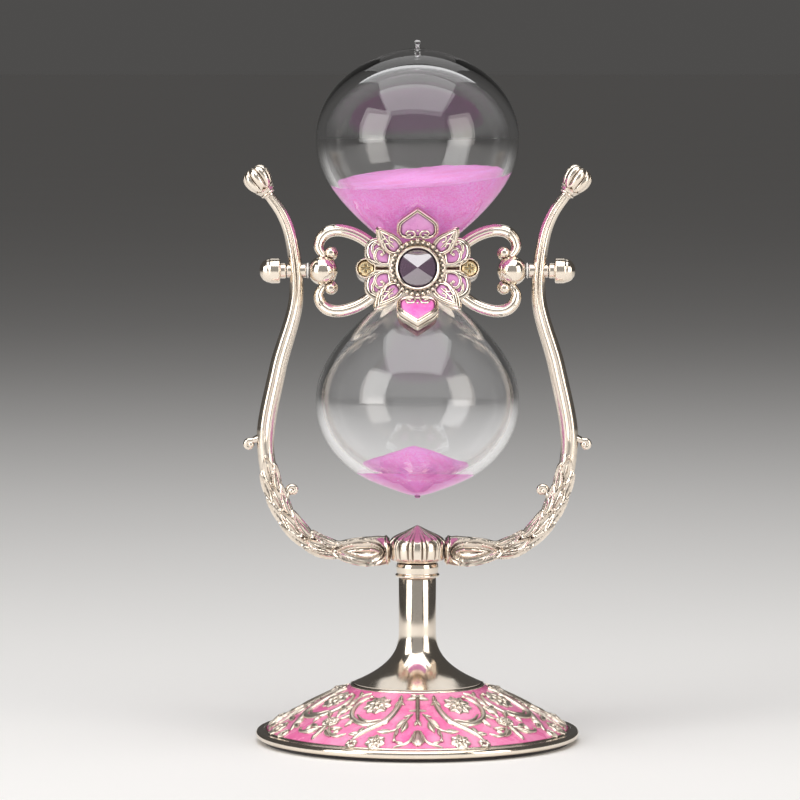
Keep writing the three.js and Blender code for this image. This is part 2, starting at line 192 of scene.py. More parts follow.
def smooth_curve(points, count, closed=False):
    """Even points along a centripetal Catmull-Rom curve."""
    p = np.asarray(points, float)
    if closed:
        p = np.concatenate([p[-1:], p, p[:2]])
    else:
        p = np.concatenate([[2 * p[0] - p[1]], p, [2 * p[-1] - p[-2]]])
    out = []
    for i in range(1, len(p) - 2):
        a, b, c, d = p[i - 1:i + 3]
        t = np.linspace(0, 1, 40, endpoint=False)[:, None]
        k = [max(1e-6, np.linalg.norm(y - x)) ** 0.5 for x, y in ((a, b), (b, c), (c, d))]
        m1 = k[1] * ((b - a) / k[0] - (c - a) / (k[0] + k[1]) + (c - b) / k[1])
        m2 = k[1] * ((c - b) / k[1] - (d - b) / (k[1] + k[2]) + (d - c) / k[2])
        h1 = 2 * t ** 3 - 3 * t ** 2 + 1
        h2 = t ** 3 - 2 * t ** 2 + t
        h3 = -2 * t ** 3 + 3 * t ** 2
        h4 = t ** 3 - t ** 2
        out.append(h1 * b + h2 * m1 + h3 * c + h4 * m2)
    out.append(p[-2][None])
    line = np.concatenate(out)
    step = distances(line)
    at = np.linspace(0, step[-1], count)
    return np.stack([np.interp(at, step, line[:, i]) for i in range(line.shape[1])], axis=1)


def distances(line):
    """How far along the line each point lies."""
    return np.concatenate([[0], np.cumsum(np.linalg.norm(np.diff(line, axis=0), axis=1))])


def round_row(angle, radius, height, stretch=1.0):
    """A row of points round the axis."""
    return np.stack([radius * np.cos(angle), stretch * radius * np.sin(angle), height + 0 * angle], axis=1)


def ridge(t, middle, width):
    """A smooth bump of height 1."""
    return np.exp(-((t - middle) / width) ** 2)


def stood_up(line):
    """A line drawn as (x, z) pairs, as points in the upright plane through the axis."""
    return np.stack([line[:, 0], np.zeros(len(line)), line[:, 1]], axis=1)


def tangents(line):
    d = np.gradient(line, axis=0)
    return d / np.maximum(1e-9, np.linalg.norm(d, axis=1))[:, None]


def rod(line, radius, up, sides, flat=1.0, section=None):
    """A rod along a line of 3-D points. radius may be a list along it. up gives each section's second
    direction, flat squashes the section along it, and section(angle) scales its radius."""
    line = np.asarray(line, float)
    n = len(line)
    t = tangents(line)
    up = np.broadcast_to(np.asarray(up, float), line.shape)
    side = np.cross(t, up)
    side /= np.maximum(1e-9, np.linalg.norm(side, axis=1))[:, None]
    high = np.cross(side, t)
    angle = even_turn(sides)
    r = np.broadcast_to(np.asarray(radius, float), (n,))[:, None]
    scale = np.ones_like(angle) if section is None else section(angle)
    a = r * scale * np.cos(angle)
    b = r * scale * np.sin(angle) * flat
    rows = line[:, None] - side[:, None] * a[..., None] + high[:, None] * b[..., None]
    return grid(rows)


def ball(centre, radius, squash, rings, segments):
    """A ball, flattened along Z by squash."""
    t = np.linspace(-PI / 2, PI / 2, rings)
    profile = np.stack([radius * np.cos(t), radius * squash * np.sin(t)], axis=1)
    profile[0, 0] = profile[-1, 0] = 0
    return Shape().join(turned(profile, segments), Matrix.Translation(centre))


def rounded(profile, r, steps=4):
    """Rounds a profile's corners with short arcs of about r."""
    p = np.asarray(profile, float)
    out = [p[0]]
    for a, b, c in zip(p, p[1:], p[2:]):
        back = a - b
        on = c - b
        cut = min(r, 0.45 * np.linalg.norm(back), 0.45 * np.linalg.norm(on))
        start = b + back / max(1e-9, np.linalg.norm(back)) * cut
        end = b + on / max(1e-9, np.linalg.norm(on)) * cut
        for s in np.linspace(0, 1, steps + 1):
            out.append((1 - s) ** 2 * start + 2 * s * (1 - s) * b + s ** 2 * end)
    out.append(p[-1])
    return np.array(out)


def piece(name, shape, materials, body, replaced=(), place=UNTURNED, flat=False):
    """Makes a Blender object of a shape, and hands it to the frame."""
    points, faces = shape.placed(place)
    mesh = bpy.data.meshes.new(name)
    mesh.from_pydata((points * MM).tolist(), [], faces)
    for material in materials if isinstance(materials, list) else [materials]:
        mesh.materials.append(material)
    mesh.polygons.foreach_set("material_index", shape.slots)
    mesh.validate()
    if not flat:
        mesh.shade_smooth()
        mesh.set_sharp_from_angle(angle=math.radians(38))
    mesh.update()
    obj = bpy.data.objects.new(name, mesh)
    bpy.context.scene.collection.objects.link(obj)
    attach(obj, body)
    if replaced:
        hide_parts(*replaced)


# ---- Materials ----

class Nodes:
    """A short way to write a node tree."""

    def __init__(self, name):
        self.material = bpy.data.materials.new(name)
        self.material.use_nodes = True
        self.tree = self.material.node_tree
        self.shader = self.tree.nodes["Principled BSDF"]

    def new(self, kind, inputs=None, **settings):
        node = self.tree.nodes.new(kind)
        for key, value in settings.items():
            setattr(node, key, value)
        for key, value in (inputs or {}).items():
            self.feed(node.inputs[key], value)
        return node

    def feed(self, socket, value):
        if isinstance(value, bpy.types.NodeSocket):
            self.tree.links.new(value, socket)
        else:
            socket.default_value = value

    def set(self, **values):
        """Feeds the shader. A plain number or colour is set on the shader's own socket."""
        for key, value in values.items():
            self.feed(self.shader.inputs[key.replace("_", " ")], value)

    def place(self, scale=(1, 1, 1)):
        coord = self.new("ShaderNodeTexCoord")
        return self.new("ShaderNodeMapping", {"Vector": coord.outputs["Object"], "Scale": scale}).outputs[0]

    def noise(self, scale, detail, roughness, vector=None):
        node = self.new("ShaderNodeTexNoise", {"Scale": scale, "Detail": detail, "Roughness": roughness})
        self.feed(node.inputs["Vector"], vector or self.place())
        return node.outputs["Fac"]

    def mix(self, factor, a, b):
        node = self.new("ShaderNodeMix", data_type="RGBA")
        self.feed(node.inputs["Factor"], factor)
        self.feed(node.inputs["A"], a)
        self.feed(node.inputs["B"], b)
        return node.outputs["Result"]

    def range(self, value, low, high, to_low, to_high):
        node = self.new("ShaderNodeMapRange", {"Value": value, "From Min": low, "From Max": high})
        self.feed(node.inputs["To Min"], to_low)
        self.feed(node.inputs["To Max"], to_high)
        return node.outputs[0]

    def bump(self, height, strength, distance, normal=None):
        node = self.new("ShaderNodeBump", {"Height": height, "Strength": strength, "Distance": distance})
        if normal:
            self.feed(node.inputs["Normal"], normal)
        return node.outputs[0]

    def recess(self, distance):
        """1 in the open and 0 deep in a corner."""
        node = self.new("ShaderNodeAmbientOcclusion", {"Distance": distance}, samples=6)
        return node.outputs["AO"]


def rgb(r, g, b):
    return (r, g, b, 1)


def silver_material(name, painted_shade, polish, reach=1.0 * MM):
    """Polished plated casting: warm, with faint handling haze, and painted shade that darkens the recesses.
    """
    n = Nodes(name)
    open_part = n.recess(reach)
    fog = n.noise(90, 4, 0.6)
    bright = n.mix(n.range(fog, 0.35, 0.7, 0.0, 1.0), rgb(0.91, 0.82, 0.71), rgb(0.85, 0.75, 0.63))
    # painted shade: ambient occlusion darkens the colour towards brown-black in the recesses and creases
    dark = n.range(open_part, 0.3, 0.95, painted_shade, 0.0)
    n.set(Base_Color=n.mix(dark, bright, rgb(0.16, 0.12, 0.11)), Metallic=1.0)
    n.set(Roughness=n.range(n.noise(220, 5, 0.65), 0.3, 0.75, polish, polish + 0.1))
    grain = n.noise(700, 3, 0.5)
    waves = n.noise(60, 2, 0.4)
    soft = n.bump(waves, 0.12, 0.4 * MM)
    n.set(Normal=n.bump(grain, 0.06, 0.08 * MM, soft))
    return n.material


def enamel_material(name, main, light, deep):
    """Coloured enamel under a clear coat, with painted shade darkening it next to the metal."""
    n = Nodes(name)
    cloud = n.noise(120, 4, 0.55)
    speck = n.noise(900, 2, 0.5)
    base = n.mix(n.range(cloud, 0.38, 0.68, 0.0, 0.75), main, light)
    base = n.mix(n.range(speck, 0.55, 0.75, 0.0, 0.3), base, light)
    # painted shade: ambient occlusion darkens the enamel towards the deep colour where the metal hems it in
    edge_shade = n.range(n.recess(1.4 * MM), 0.45, 1.0, 0.85, 0.0)
    n.set(Base_Color=n.mix(edge_shade, base, deep), Roughness=n.range(cloud, 0.3, 0.7, 0.22, 0.34))
    n.set(Coat_Weight=0.8, Coat_Roughness=0.06)
    n.set(Normal=n.bump(n.noise(260, 4, 0.6), 0.22, 0.25 * MM))
    return n.material


def sand_material():
    """Bright dyed sand: grains of several pinks, with mauve patches where it has packed, and a faint
    painted glow that lights it.
    """
    n = Nodes("sand_grains")
    grain = n.new("ShaderNodeTexVoronoi", {"Scale": 2600.0})
    n.feed(grain.inputs["Vector"], n.place())
    pick = n.range(grain.outputs["Color"], 0.2, 0.8, 0.0, 1.0)
    tone = n.mix(pick, rgb(0.98, 0.28, 0.80), rgb(1.0, 0.48, 0.92))
    patch = n.range(n.noise(75, 4, 0.6), 0.42, 0.68, 0.0, 0.6)
    tone = n.mix(patch, tone, rgb(0.80, 0.22, 0.58))
    n.set(Base_Color=tone, Roughness=n.range(grain.outputs["Distance"], 0, 0.6, 0.7, 1.0))
    # painted light: the sand glows faintly in its own colour, standing in for the light the glass keeps
    # from it
    n.set(Emission_Color=tone, Emission_Strength=0.18)
    heights = n.noise(1800, 3, 0.7)
    n.set(Normal=n.bump(grain.outputs["Distance"], 0.5, 0.2 * MM, n.bump(heights, 0.4, 0.3 * MM)))
    return n.material


def glass_material():
    """Blown glass: clear, with slow waves in its wall."""
    n = Nodes("blown_glass")
    n.set(Transmission_Weight=1.0, IOR=1.47)
    tint = n.mix(n.noise(30, 2, 0.5), rgb(0.985, 0.985, 0.99), rgb(0.96, 0.965, 0.975))
    n.set(Base_Color=tint, Roughness=n.range(n.noise(400, 3, 0.6), 0.5, 0.8, 0.0, 0.012))
    n.set(Normal=n.bump(n.noise(35, 2, 0.4), 0.05, 0.4 * MM))
    return n.material


def crystal_material():
    """Dark violet cut crystal that mirrors bright light in its facets."""
    n = Nodes("cut_crystal")
    n.set(Transmission_Weight=0.6, IOR=2.1)
    n.set(Coat_Weight=1.0, Coat_IOR=2.2, Coat_Roughness=0.02)
    tint = n.mix(n.noise(160, 2, 0.5), rgb(0.34, 0.22, 0.33), rgb(0.24, 0.15, 0.24))
    n.set(Base_Color=tint, Roughness=n.range(n.noise(900, 2, 0.5), 0.5, 0.8, 0.0, 0.02))
    return n.material


def foil_material():
    """Dark foil behind the crystal, slightly clouded."""
    n = Nodes("foil_backing")
    cloud = n.noise(300, 3, 0.6)
    n.set(Base_Color=n.mix(cloud, rgb(0.30, 0.22, 0.30), rgb(0.12, 0.08, 0.12)), Metallic=1.0)
    n.set(Roughness=n.range(cloud, 0.3, 0.7, 0.08, 0.22))
    return n.material


def brass_material():
    """Bright brass screw heads, with turning marks and painted shade darkening the cross slots."""
    n = Nodes("brass_screw")
    marks = n.noise(1500, 3, 0.6, n.place((1, 0.2, 1)))
    # painted shade: ambient occlusion darkens the brass towards brown-black in the cross slots
    dark = n.range(n.recess(0.6 * MM), 0.4, 0.95, 0.8, 0.0)
    bright = n.mix(marks, rgb(0.88, 0.76, 0.52), rgb(0.78, 0.64, 0.40))
    n.set(Base_Color=n.mix(dark, bright, rgb(0.14, 0.08, 0.05)), Metallic=1.0)
    n.set(Roughness=n.range(marks, 0.3, 0.7, 0.14, 0.28), Normal=n.bump(marks, 0.08, 0.05 * MM))
    return n.material


def steel_material():
    """Plain turned steel."""
    n = Nodes("turned_steel")
    marks = n.noise(1200, 3, 0.6, n.place((0.1, 1, 1)))
    n.set(Base_Color=n.mix(marks, rgb(0.62, 0.6, 0.57), rgb(0.5, 0.48, 0.46)), Metallic=1.0)
    n.set(Roughness=n.range(marks, 0.3, 0.7, 0.25, 0.42), Normal=n.bump(marks, 0.12, 0.05 * MM))
    return n.material


def soft_plastic_material(name, low, high):
    """Matt plastic or rubber, slightly clouded."""
    n = Nodes(name)
    cloud = n.noise(250, 4, 0.6)
    n.set(Base_Color=n.mix(cloud, low, high), Roughness=n.range(cloud, 0.3, 0.7, 0.45, 0.62))
    n.set(Normal=n.bump(n.noise(900, 3, 0.6), 0.15, 0.08 * MM))
    return n.material


def felt_material():
    """Black needled felt: short tangled fibres."""
    n = Nodes("black_felt")
    fibre = n.noise(2600, 5, 0.75, n.place((1, 1, 0.4)))
    clump = n.noise(180, 3, 0.6)
    tone = n.mix(n.range(fibre, 0.35, 0.7, 0.0, 1.0), rgb(0.012, 0.010, 0.011), rgb(0.07, 0.06, 0.062))
    tone = n.mix(n.range(clump, 0.3, 0.8, 0.0, 0.4), tone, rgb(0.03, 0.026, 0.028))
    n.set(Base_Color=tone, Roughness=n.range(clump, 0.3, 0.7, 0.88, 1.0))
    n.set(Sheen_Weight=0.35)
    n.set(Normal=n.bump(fibre, 0.7, 0.25 * MM))
    return n.material


# The second number sets how strongly painted shade darkens the recesses of each finish.
SILVER = silver_material("polished_silver", 0.75, 0.09)
CAST = silver_material("cast_silver", 0.95, 0.15, 1.8 * MM)
RELIEF = silver_material("satin_silver", 0.6, 0.30)
PINK = enamel_material("pink_enamel", rgb(0.90, 0.17, 0.42), rgb(0.98, 0.42, 0.64), rgb(0.58, 0.06, 0.24))
# A darker, bluer copy of the clamp plates' hot pink enamel: painted shade for the top spade, which faces
# down, also used on the wings and the lobes. The bottom spade, which faces up, keeps the hot pink.
SHADED_PINK = enamel_material("pink_enamel_painted_shade", rgb(0.70, 0.27, 0.60), rgb(0.86, 0.46, 0.76), rgb(0.22, 0.06, 0.17))
HOT = enamel_material("hot_pink_enamel", rgb(0.9, 0.13, 0.56), rgb(0.95, 0.35, 0.7), rgb(0.4, 0.04, 0.22))
SAND = sand_material()
GLASS = glass_material()
CRYSTAL = crystal_material()
FOIL = foil_material()
BRASS = brass_material()
STEEL = steel_material()
RUBBER = soft_plastic_material("clear_rubber", rgb(0.62, 0.62, 0.6), rgb(0.72, 0.72, 0.7))
NYLON = soft_plastic_material("white_nylon", rgb(0.74, 0.73, 0.7), rgb(0.82, 0.81, 0.78))
FELT = felt_material()


# ---- Base ----

def skirt_z(r):
    u = (SKIRT_OUT - r) / (SKIRT_OUT - SKIRT_IN)
    return RIM_TOP + (SKIRT_FOOT_Z - RIM_TOP) * u + 2.2 * u * (1 - u)


def on_skirt(x, y, h):
    """A point h above the skirt. x and y are seen from above, with +y towards the front."""
    x, y, h = np.broadcast_arrays(np.asarray(x, float), y, h)
    r = np.hypot(x, y)
    slope = (skirt_z(r + 0.05) - skirt_z(r - 0.05)) / 0.1
    lean = -slope / np.sqrt(1 + slope ** 2)
    up = 1 / np.sqrt(1 + slope ** 2)
    out = r + h * lean
    return np.stack([x / r * out, -y / r * out, skirt_z(r) + h * up], axis=-1)


BELOW_SKIRT = -0.3  # the relief starts under the enamel's surface


def vine(points, width, height, count):
    """A half-round stem lying on the skirt, thinner towards both ends."""
    line = smooth_curve(points, count)
    t = tangents(line)
    side = np.stack([-t[:, 1], t[:, 0]], axis=1)
    s = np.linspace(0, 1, count)
    widest = 1.2 * width
    w = widest * (0.35 + 0.65 * np.sin(PI * np.clip(s * 0.9 + 0.08, 0, 1)) ** 0.6)
    angle = np.linspace(0, PI, 7)
    high = np.append(np.sin(angle) * height, [BELOW_SKIRT, BELOW_SKIRT])
    across = np.append(np.cos(angle), [-1, 1])
    x, y = (line[:, [i]] + side[:, [i]] * across * w[:, None] / 2 for i in (0, 1))
    taper = np.minimum(1, 6 * np.minimum(s + 0.05, 1.05 - s))[:, None]
    rows = on_skirt(x, y, np.where(high > 0, high * taper, high))
    return grid(rows[:, ::-1])


def skirt_leaf(base, direction, length, width, height, scallops, bend=0.0):
    """A leaf on the skirt, with a groove down its middle and a scalloped edge."""
    base = np.asarray(base, float)
    d = np.asarray(direction, float)
    d /= np.linalg.norm(d)
    n = np.array([-d[1], d[0]])
    u = np.linspace(0, 1, 13)[:, None]
    v = np.linspace(-1, 1, 9)[None, :]
    plump = 1.15 * np.sin(PI * np.clip(u, 0.02, 0.985) ** 0.8) ** 0.8
    outline = plump * (1 - 0.1 * np.abs(np.sin(PI * scallops * u)))
    aside = v * outline * width / 2 / length + bend * u ** 2
    x, y = (base[i] + length * (d[i] * u + n[i] * aside) for i in (0, 1))
    crown = 1 - 0.35 * ridge(v, 0, 0.16) - np.abs(v) ** 4 * 0.7
    h = height * (0.6 + 0.4 * np.sin(PI * np.clip(u, 0, 1) ** 0.7)) * crown
    top = on_skirt(x, y, h)
    low = on_skirt(x, y, np.full_like(h, BELOW_SKIRT))
    rows = np.concatenate([top, low[:, ::-1]], axis=1)
    return grid(rows[:, ::-1])


def skirt_flower(centre, radius, petals, layers):
    """A rosette of round petals in layers about a beaded middle."""
    made = Shape()
    cx, cy = centre
    for layer in range(layers):
        reach = radius * (1 - 0.38 * layer)
        width = reach * 2.1 * math.sin(PI / petals) + 0.35
        for k in range(petals):
            a = 2 * PI * k / petals + layer * PI / petals
            d = (math.cos(a), math.sin(a))
            start = (cx + d[0] * reach * 0.22, cy + d[1] * reach * 0.22)
            made.join(skirt_leaf(start, d, reach * 0.82, width, 0.75 + 0.35 * layer, 2))
    return made.join(ball(on_skirt(cx, cy, 0.8), radius * 0.2, 0.8, 8, 12))


def polar(angle, r):
    """A place on the skirt by its angle in degrees from the front line."""
    a = math.radians(angle)
    return np.array([r * math.sin(a), r * math.cos(a)])


class Relief(Shape):
    """Cast relief on the skirt, gathered from stems, leaves, flowers and beads."""

    def stem(self, points, width, height, count):
        self.join(vine(points, width, height, count))

    def leaves(self, *rows):
        """Each leaf is base, direction, length, width, height, scallops and perhaps bend."""
        for row in rows:
            self.join(skirt_leaf(*row))

    def flower(self, centre, radius, petals, layers):
        self.join(skirt_flower(centre, radius, petals, layers))

    def bead(self, x, y, height, radius, squash=0.8):
        self.join(ball(on_skirt(x, y, height), radius, squash, 8, 12))


def add_scroll(made):
    """Thick stem that rises to an arrow-shaped leaf, and the C-scroll that leaves it round the rosette."""
    made.flower((13.3, 27.3), 4.6, 9, 3)
    made.stem([
        (5.7, 27.0), (6.5, 29.9), (8.3, 33.6), (10.9, 36.9), (14.6, 38.9), (18.3, 40.7), (21.8, 42.8),
    ], 2.0, 0.85, 44)
    made.leaves(
        ((5.9, 28.4), (-0.14, -1), 4.6, 1.7, 0.85, 1),
        ((5.8, 27.0), (-0.55, 1), 3.0, 1.0, 0.7, 1),
        ((5.8, 27.0), (0.75, 1), 3.2, 1.0, 0.7, 1),
    )
    made.stem([
        (9.6, 35.3), (12.4, 37.4), (16.0, 37.3), (19.7, 34.6), (21.9, 30.6), (21.7, 26.6), (19.9, 23.5),
        (17.4, 21.7), (15.0, 21.4),
    ], 1.7, 0.8, 56)
    made.stem([(12.2, 35.6), (15.6, 35.7), (18.7, 33.2), (20.2, 29.6)], 0.9, 0.55, 28)
    made.bead(15.2, 21.9, 0.45, 0.85)
    for base, heading in (
        ((21.2, 32.6), (0.9, 0.55)), ((21.9, 29.4), (1.0, -0.1)), ((21.2, 25.4), (0.9, -0.6)),
        ((17.9, 38.4), (0.75, 0.9)), ((14.2, 38.2), (0.95, 0.42)), ((19.2, 41.0), (0.9, -0.35)),
    ):
        made.leaves((base, heading, 3.9, 1.7, 0.8, 2, 0.1))
    made.leaves(((9.4, 36.2), (1.0, 1.15), 3.6, 1.5, 0.7, 1))


def add_centre_line(made):
    """A bow of leaves, a stem with a cross-bar, and its crown."""
    made.stem([(0.0, 23.8), (0.0, 31), (0.0, 39.8)], 1.25, 0.8, 22)
    made.leaves(
        ((0.1, 25.4), (1.0, 0.35), 3.7, 1.9, 0.85, 1),
        ((0.1, 25.4), (0.8, -0.45), 2.5, 1.9, 0.85, 1),
        ((0.1, 32.8), (1.0, 0.0), 2.8, 0.9, 0.65, 1),
        ((0.0, 38.0), (0.42, 1.0), 2.9, 1.3, 0.8, 1),
    )
    made.bead(0.0, 25.5, 0.7, 0.8, 0.7)


def add_spray(made):
    """Leafy spray from the centre line outwards."""
    made.stem([(1.7, 34.3), (3.9, 37.7), (6.2, 40.8), (8.6, 42.6), (10.6, 42.4)], 0.85, 0.6, 26)
    made.leaves(
        ((9.0, 42.6), (1.0, -0.16), 4.6, 1.9, 0.8, 2),
        ((2.2, 35.1), (1.0, 0.35), 2.6, 1.0, 0.6, 1),
        ((3.8, 37.2), (0.8, 0.68), 4.9, 1.7, 0.75, 2, 0.1),
        ((3.6, 38.6), (0.3, 1.0), 5.4, 2.1, 0.8, 2, -0.08),
        ((6.8, 41.6), (0.1, 1.0), 3.4, 1.2, 0.65, 1),
    )
    made.stem([(7.5, 43.2), (7.8, 45.2), (7.8, 47.0)], 0.7, 0.5, 12)
    made.bead(7.8, 47.4, 0.35, 0.75)


def add_rim_pattern(made):
    """Palmette at the rim with a stem sweeping out from it, and small flowers."""
    for angle, length, width in ((0, 7.6, 1.3), (10, 7.0, 1.3), (21, 5.6, 1.3), (34, 4.2, 1.2)):
        made.leaves(((0.15, 50.4), polar(angle, 1) * (1, -1), length, width, 0.95, 1))
    made.stem([(0.7, 42.9), (1.6, 45.6), (3.0, 48.2), (5.4, 49.7), (8.2, 50.3)], 0.95, 0.65, 26)
    made.leaves(((4.6, 49.4), (1.0, -0.5), 3.2, 1.3, 0.7, 1))
    made.flower((14.1, 46.8), 3.3, 7, 2)
    made.flower((22.0, 45.0), 2.0, 6, 1)


def add_cluster(made):
    """Flower, stem and long fronds on the 45 degree line."""
    made.flower(polar(43.5, 41.0), 2.3, 6, 2)
    made.stem([polar(45, 42.5), polar(45, 46), polar(45, 50)], 1.5, 0.8, 18)
    made.stem([polar(43, 43.5), polar(38.5, 46.6), polar(33.5, 47.2), polar(31.5, 45.6)], 1.1, 0.7, 24)
    made.leaves(
        (polar(37, 46.8), (-0.75, -0.7), 3.6, 1.5, 0.75, 2),
        (polar(43, 45.0), (-0.2, 1.0), 5.4, 1.8, 0.85, 3, 0.1),
        (polar(41, 44.2), (-0.9, 0.6), 4.4, 1.6, 0.8, 2, 0.1),
        (polar(44.5, 37.6), (-0.35, -1.0), 4.6, 1.8, 0.8, 2),
        (polar(44.9, 32.4), (-0.7, -0.75), 5.0, 1.8, 0.8, 3),
    )
    made.stem([polar(44.9, 38.5), polar(44.9, 31), polar(44.9, 25)], 1.0, 0.65, 18)
    made.leaves((polar(44.5, 26.6), (-0.95, -0.1), 3.4, 1.4, 0.7, 1))


def skirt_sector():
    """One eighth of the pattern, between the mirror lines at the front and at 45 degrees."""
    made = Relief()
    for add in (add_scroll, add_centre_line, add_spray, add_rim_pattern, add_cluster):
        add(made)
    return made


def build_base():
    build_shell()
    build_enamel()
    relief = Shape()
    sector = skirt_sector()
    for k in range(4):
        quarter = Matrix.Rotation(k * PI / 2, 4, "Z")
        relief.join(sector, quarter).join(sector, quarter @ MIRROR_X)
    piece("base_relief", relief, RELIEF, "stand")

    line = rounded([
        (SKIRT_IN + 0.75, SKIRT_FOOT_Z - 0.7), (SKIRT_IN + 0.85, SKIRT_FOOT_Z - 0.05),
        (SKIRT_IN + 0.4, SKIRT_FOOT_Z + 0.35), (SKIRT_IN - 0.05, SKIRT_FOOT_Z + 0.25),
        (SKIRT_IN - 0.1, SKIRT_FOOT_Z - 0.7),
    ], 0.2)
    piece("skirt_top_line", turned(line, 192, loop=True), SILVER, "stand")

    pad = [(0, 0), (51.9, 0), (52.4, 0.3), (52.4, PAD_TOP - 0.2), (52.1, PAD_TOP), (0, PAD_TOP)]
    piece("felt_disc", turned(pad, 160), FELT, "stand", ["felt_pad"])


def build_shell():
    """Cast shell with a bright rim, hollow below, and a web for the bolt."""
    hollow_r = 47.5
    bolt_r = 3.4
    web_top = FOOT_Z - 0.1
    web_foot = FOOT_Z - 3.6
    rim = [
        (hollow_r, PAD_TOP + 0.1),
        (54.2, PAD_TOP + 0.1),
        (BASE_R, PAD_TOP + 0.9),
        (BASE_R, RIM_TOP - 1.2),
        (BASE_R - 0.7, RIM_TOP - 0.35),
        (BASE_R - 1.7, RIM_TOP - 0.45),
        (SKIRT_OUT + 1.0, RIM_TOP - 0.35),
        (SKIRT_OUT + 0.5, RIM_TOP + 0.1),
        (SKIRT_OUT + 0.1, RIM_TOP + 0.1),
        (SKIRT_OUT - 0.2, RIM_TOP - 0.6),
    ]
    r = np.linspace(SKIRT_OUT - 0.5, SKIRT_IN, 24)
    under = np.stack([r, skirt_z(r) - ENAMEL - 0.1], axis=1)
    web = [(SKIRT_IN - 0.1, web_top), (bolt_r, web_top), (bolt_r, web_foot), (18, web_foot)]
    r = np.linspace(SKIRT_IN, hollow_r, 12)
    inner = np.stack([r, skirt_z(r) - 3.8], axis=1)
    shell = np.concatenate([rounded(rim, 0.5), under, web, inner])
    piece("base_shell_cast", turned(shell, 256, loop=True), SILVER, "stand", ["base_shell"])


def build_enamel():
    r = np.linspace(SKIRT_OUT - 0.25, SKIRT_IN + 0.15, 60)
    upper = np.stack([r, skirt_z(r)], axis=1)
    lower = np.stack([r, skirt_z(r) - ENAMEL + 0.02], axis=1)[::-1]
    skin = turned(np.concatenate([upper, lower]), 288, loop=True)
    piece("enamel_skin", skin, PINK, "stand", ["enamel_skirt"])


# ---- Stem, collar and hub ----

def flare_r(u):
    """Radius of the trumpet, from 0 at the top of its flare to 1 at its foot."""
    return STEM_R + 15.35 * u ** 2.7


def build_stem():
    wall = 1.7
    foot_top = FOOT_Z + 0.6
    flare_top = 38.0
    u = np.linspace(1, 0, 40)
    flare = np.stack([flare_r(u), foot_top + (flare_top - foot_top) * (1 - u)], axis=1)
    outside = [(19, FOOT_Z), (SKIRT_IN - 0.6, FOOT_Z), (SKIRT_IN - 0.3, FOOT_Z + 0.3)]
    top = [(STEM_R, STEM_TOP - 0.4), (STEM_R - 0.3, STEM_TOP), (STEM_R - wall, STEM_TOP)]
    u = np.linspace(0, 0.86, 16)
    hollow = np.stack([flare_r(u) - wall, flare_top - 1 - (flare_top - foot_top - 2) * u], axis=1)
    profile = np.concatenate([outside, flare, top, hollow])
    piece("trumpet_stem", turned(profile, 160, loop=True), SILVER, "stand", ["stem"])

    low = STEM_TOP + 0.1
    cup_top = node_mm("hub_collar")[1].z
    cup = rounded([
        (4.6, low), (7.1, low), (7.5, low + 0.35), (7.5, low + 0.85), (7.25, low + 1.1), (7.0, low + 1.35),
        (7.2, cup_top - 1.4), (6.9, cup_top - 0.2), (6.2, cup_top), (4.6, cup_top),
    ], 0.25)
    piece("cup_collar", turned(cup, 128, loop=True), SILVER, "stand", ["hub_collar"])
    build_hub(cup_top + 0.1)


def build_hub(low):
    ribs = 12

    def fluted(angle, r, z):
        """Broad flat panels between narrow raised ribs, fading out at the foot and the tip."""
        turn = (angle * ribs / (2 * PI) + 0.5) % 1
        away = np.abs(turn - 0.5) * 2  # 0 in the middle of a panel and 1 on a rib
        panel = 0.012 * np.cos(away * PI / 2)
        relief = 0.05 * ridge(away, 1, 0.2) - 0.055 * ridge(away, 0.66, 0.10) + panel
        strong = np.clip((z - low) / 2.0, 0, 1) * np.clip((HUB_TIP - z) / 5.5, 0, 1)
        return r * (1 + strong * relief)

    profile = smooth_curve([
        (6.9, low), (8.0, low + 0.5), (9.1, 62.3), (9.55, 64.2), (9.6, 66.0), (9.3, 67.8), (8.4, 69.2),
        (6.5, 70.4), (4.4, 71.4), (2.4, 72.4), (0.9, 73.2), (0.0, HUB_TIP),
    ], 90)
    profile = np.concatenate([[(0, low)], profile])
    profile[-1, 0] = 0
    hub = turned(profile, 360, fluted)
    spigot = turned([(0, 50), (4.3, 50), (4.3, low), (0, low)], 32)
    piece("fluted_hub", hub.join(spigot), CAST, "stand", ["yoke_hub"])


# ---- Yoke arms ----

ARM_ROUTE = [
    (9.3, 65), (20, 64.6), (34.3, 67), (45.6, 78.6), (51.5, 100), (47.3, 126.7), (41, 151), (43, 172),
    (46, 179.6), (49.9, 185.2),
]
# Width at shares of the arm's length
ARM_WIDTH = [
    (0, 9.6), (0.01, 11.2), (0.025, 12.0), (0.05, 11.7), (0.085, 9.2), (0.115, 7.4), (0.2, 7.1), (0.4, 6.6),
    (0.45, 6.1), (0.62, 5.8), (0.85, 4.5), (1, 3.5),
]
LEAF_WIDTH = 4.3
# Long leaves on the lower arm: distance along it, distance across its front, heading and length
LEAVES = [
    (15.5, 1.7, 0.10, 15), (16.5, -1.9, -0.12, 14), (18.0, 0.0, 0.02, 13), (25.0, 1.9, 0.14, 15),
    (27.0, -1.6, -0.10, 14), (30.5, 0.3, 0.02, 13), (35.0, 2.0, 0.12, 14), (37.5, -1.7, -0.12, 14),
    (41.0, 0.2, 0.0, 12), (45.0, 1.8, 0.10, 12), (47.0, -1.7, -0.10, 12), (51.0, 0.1, 0.0, 11),
]


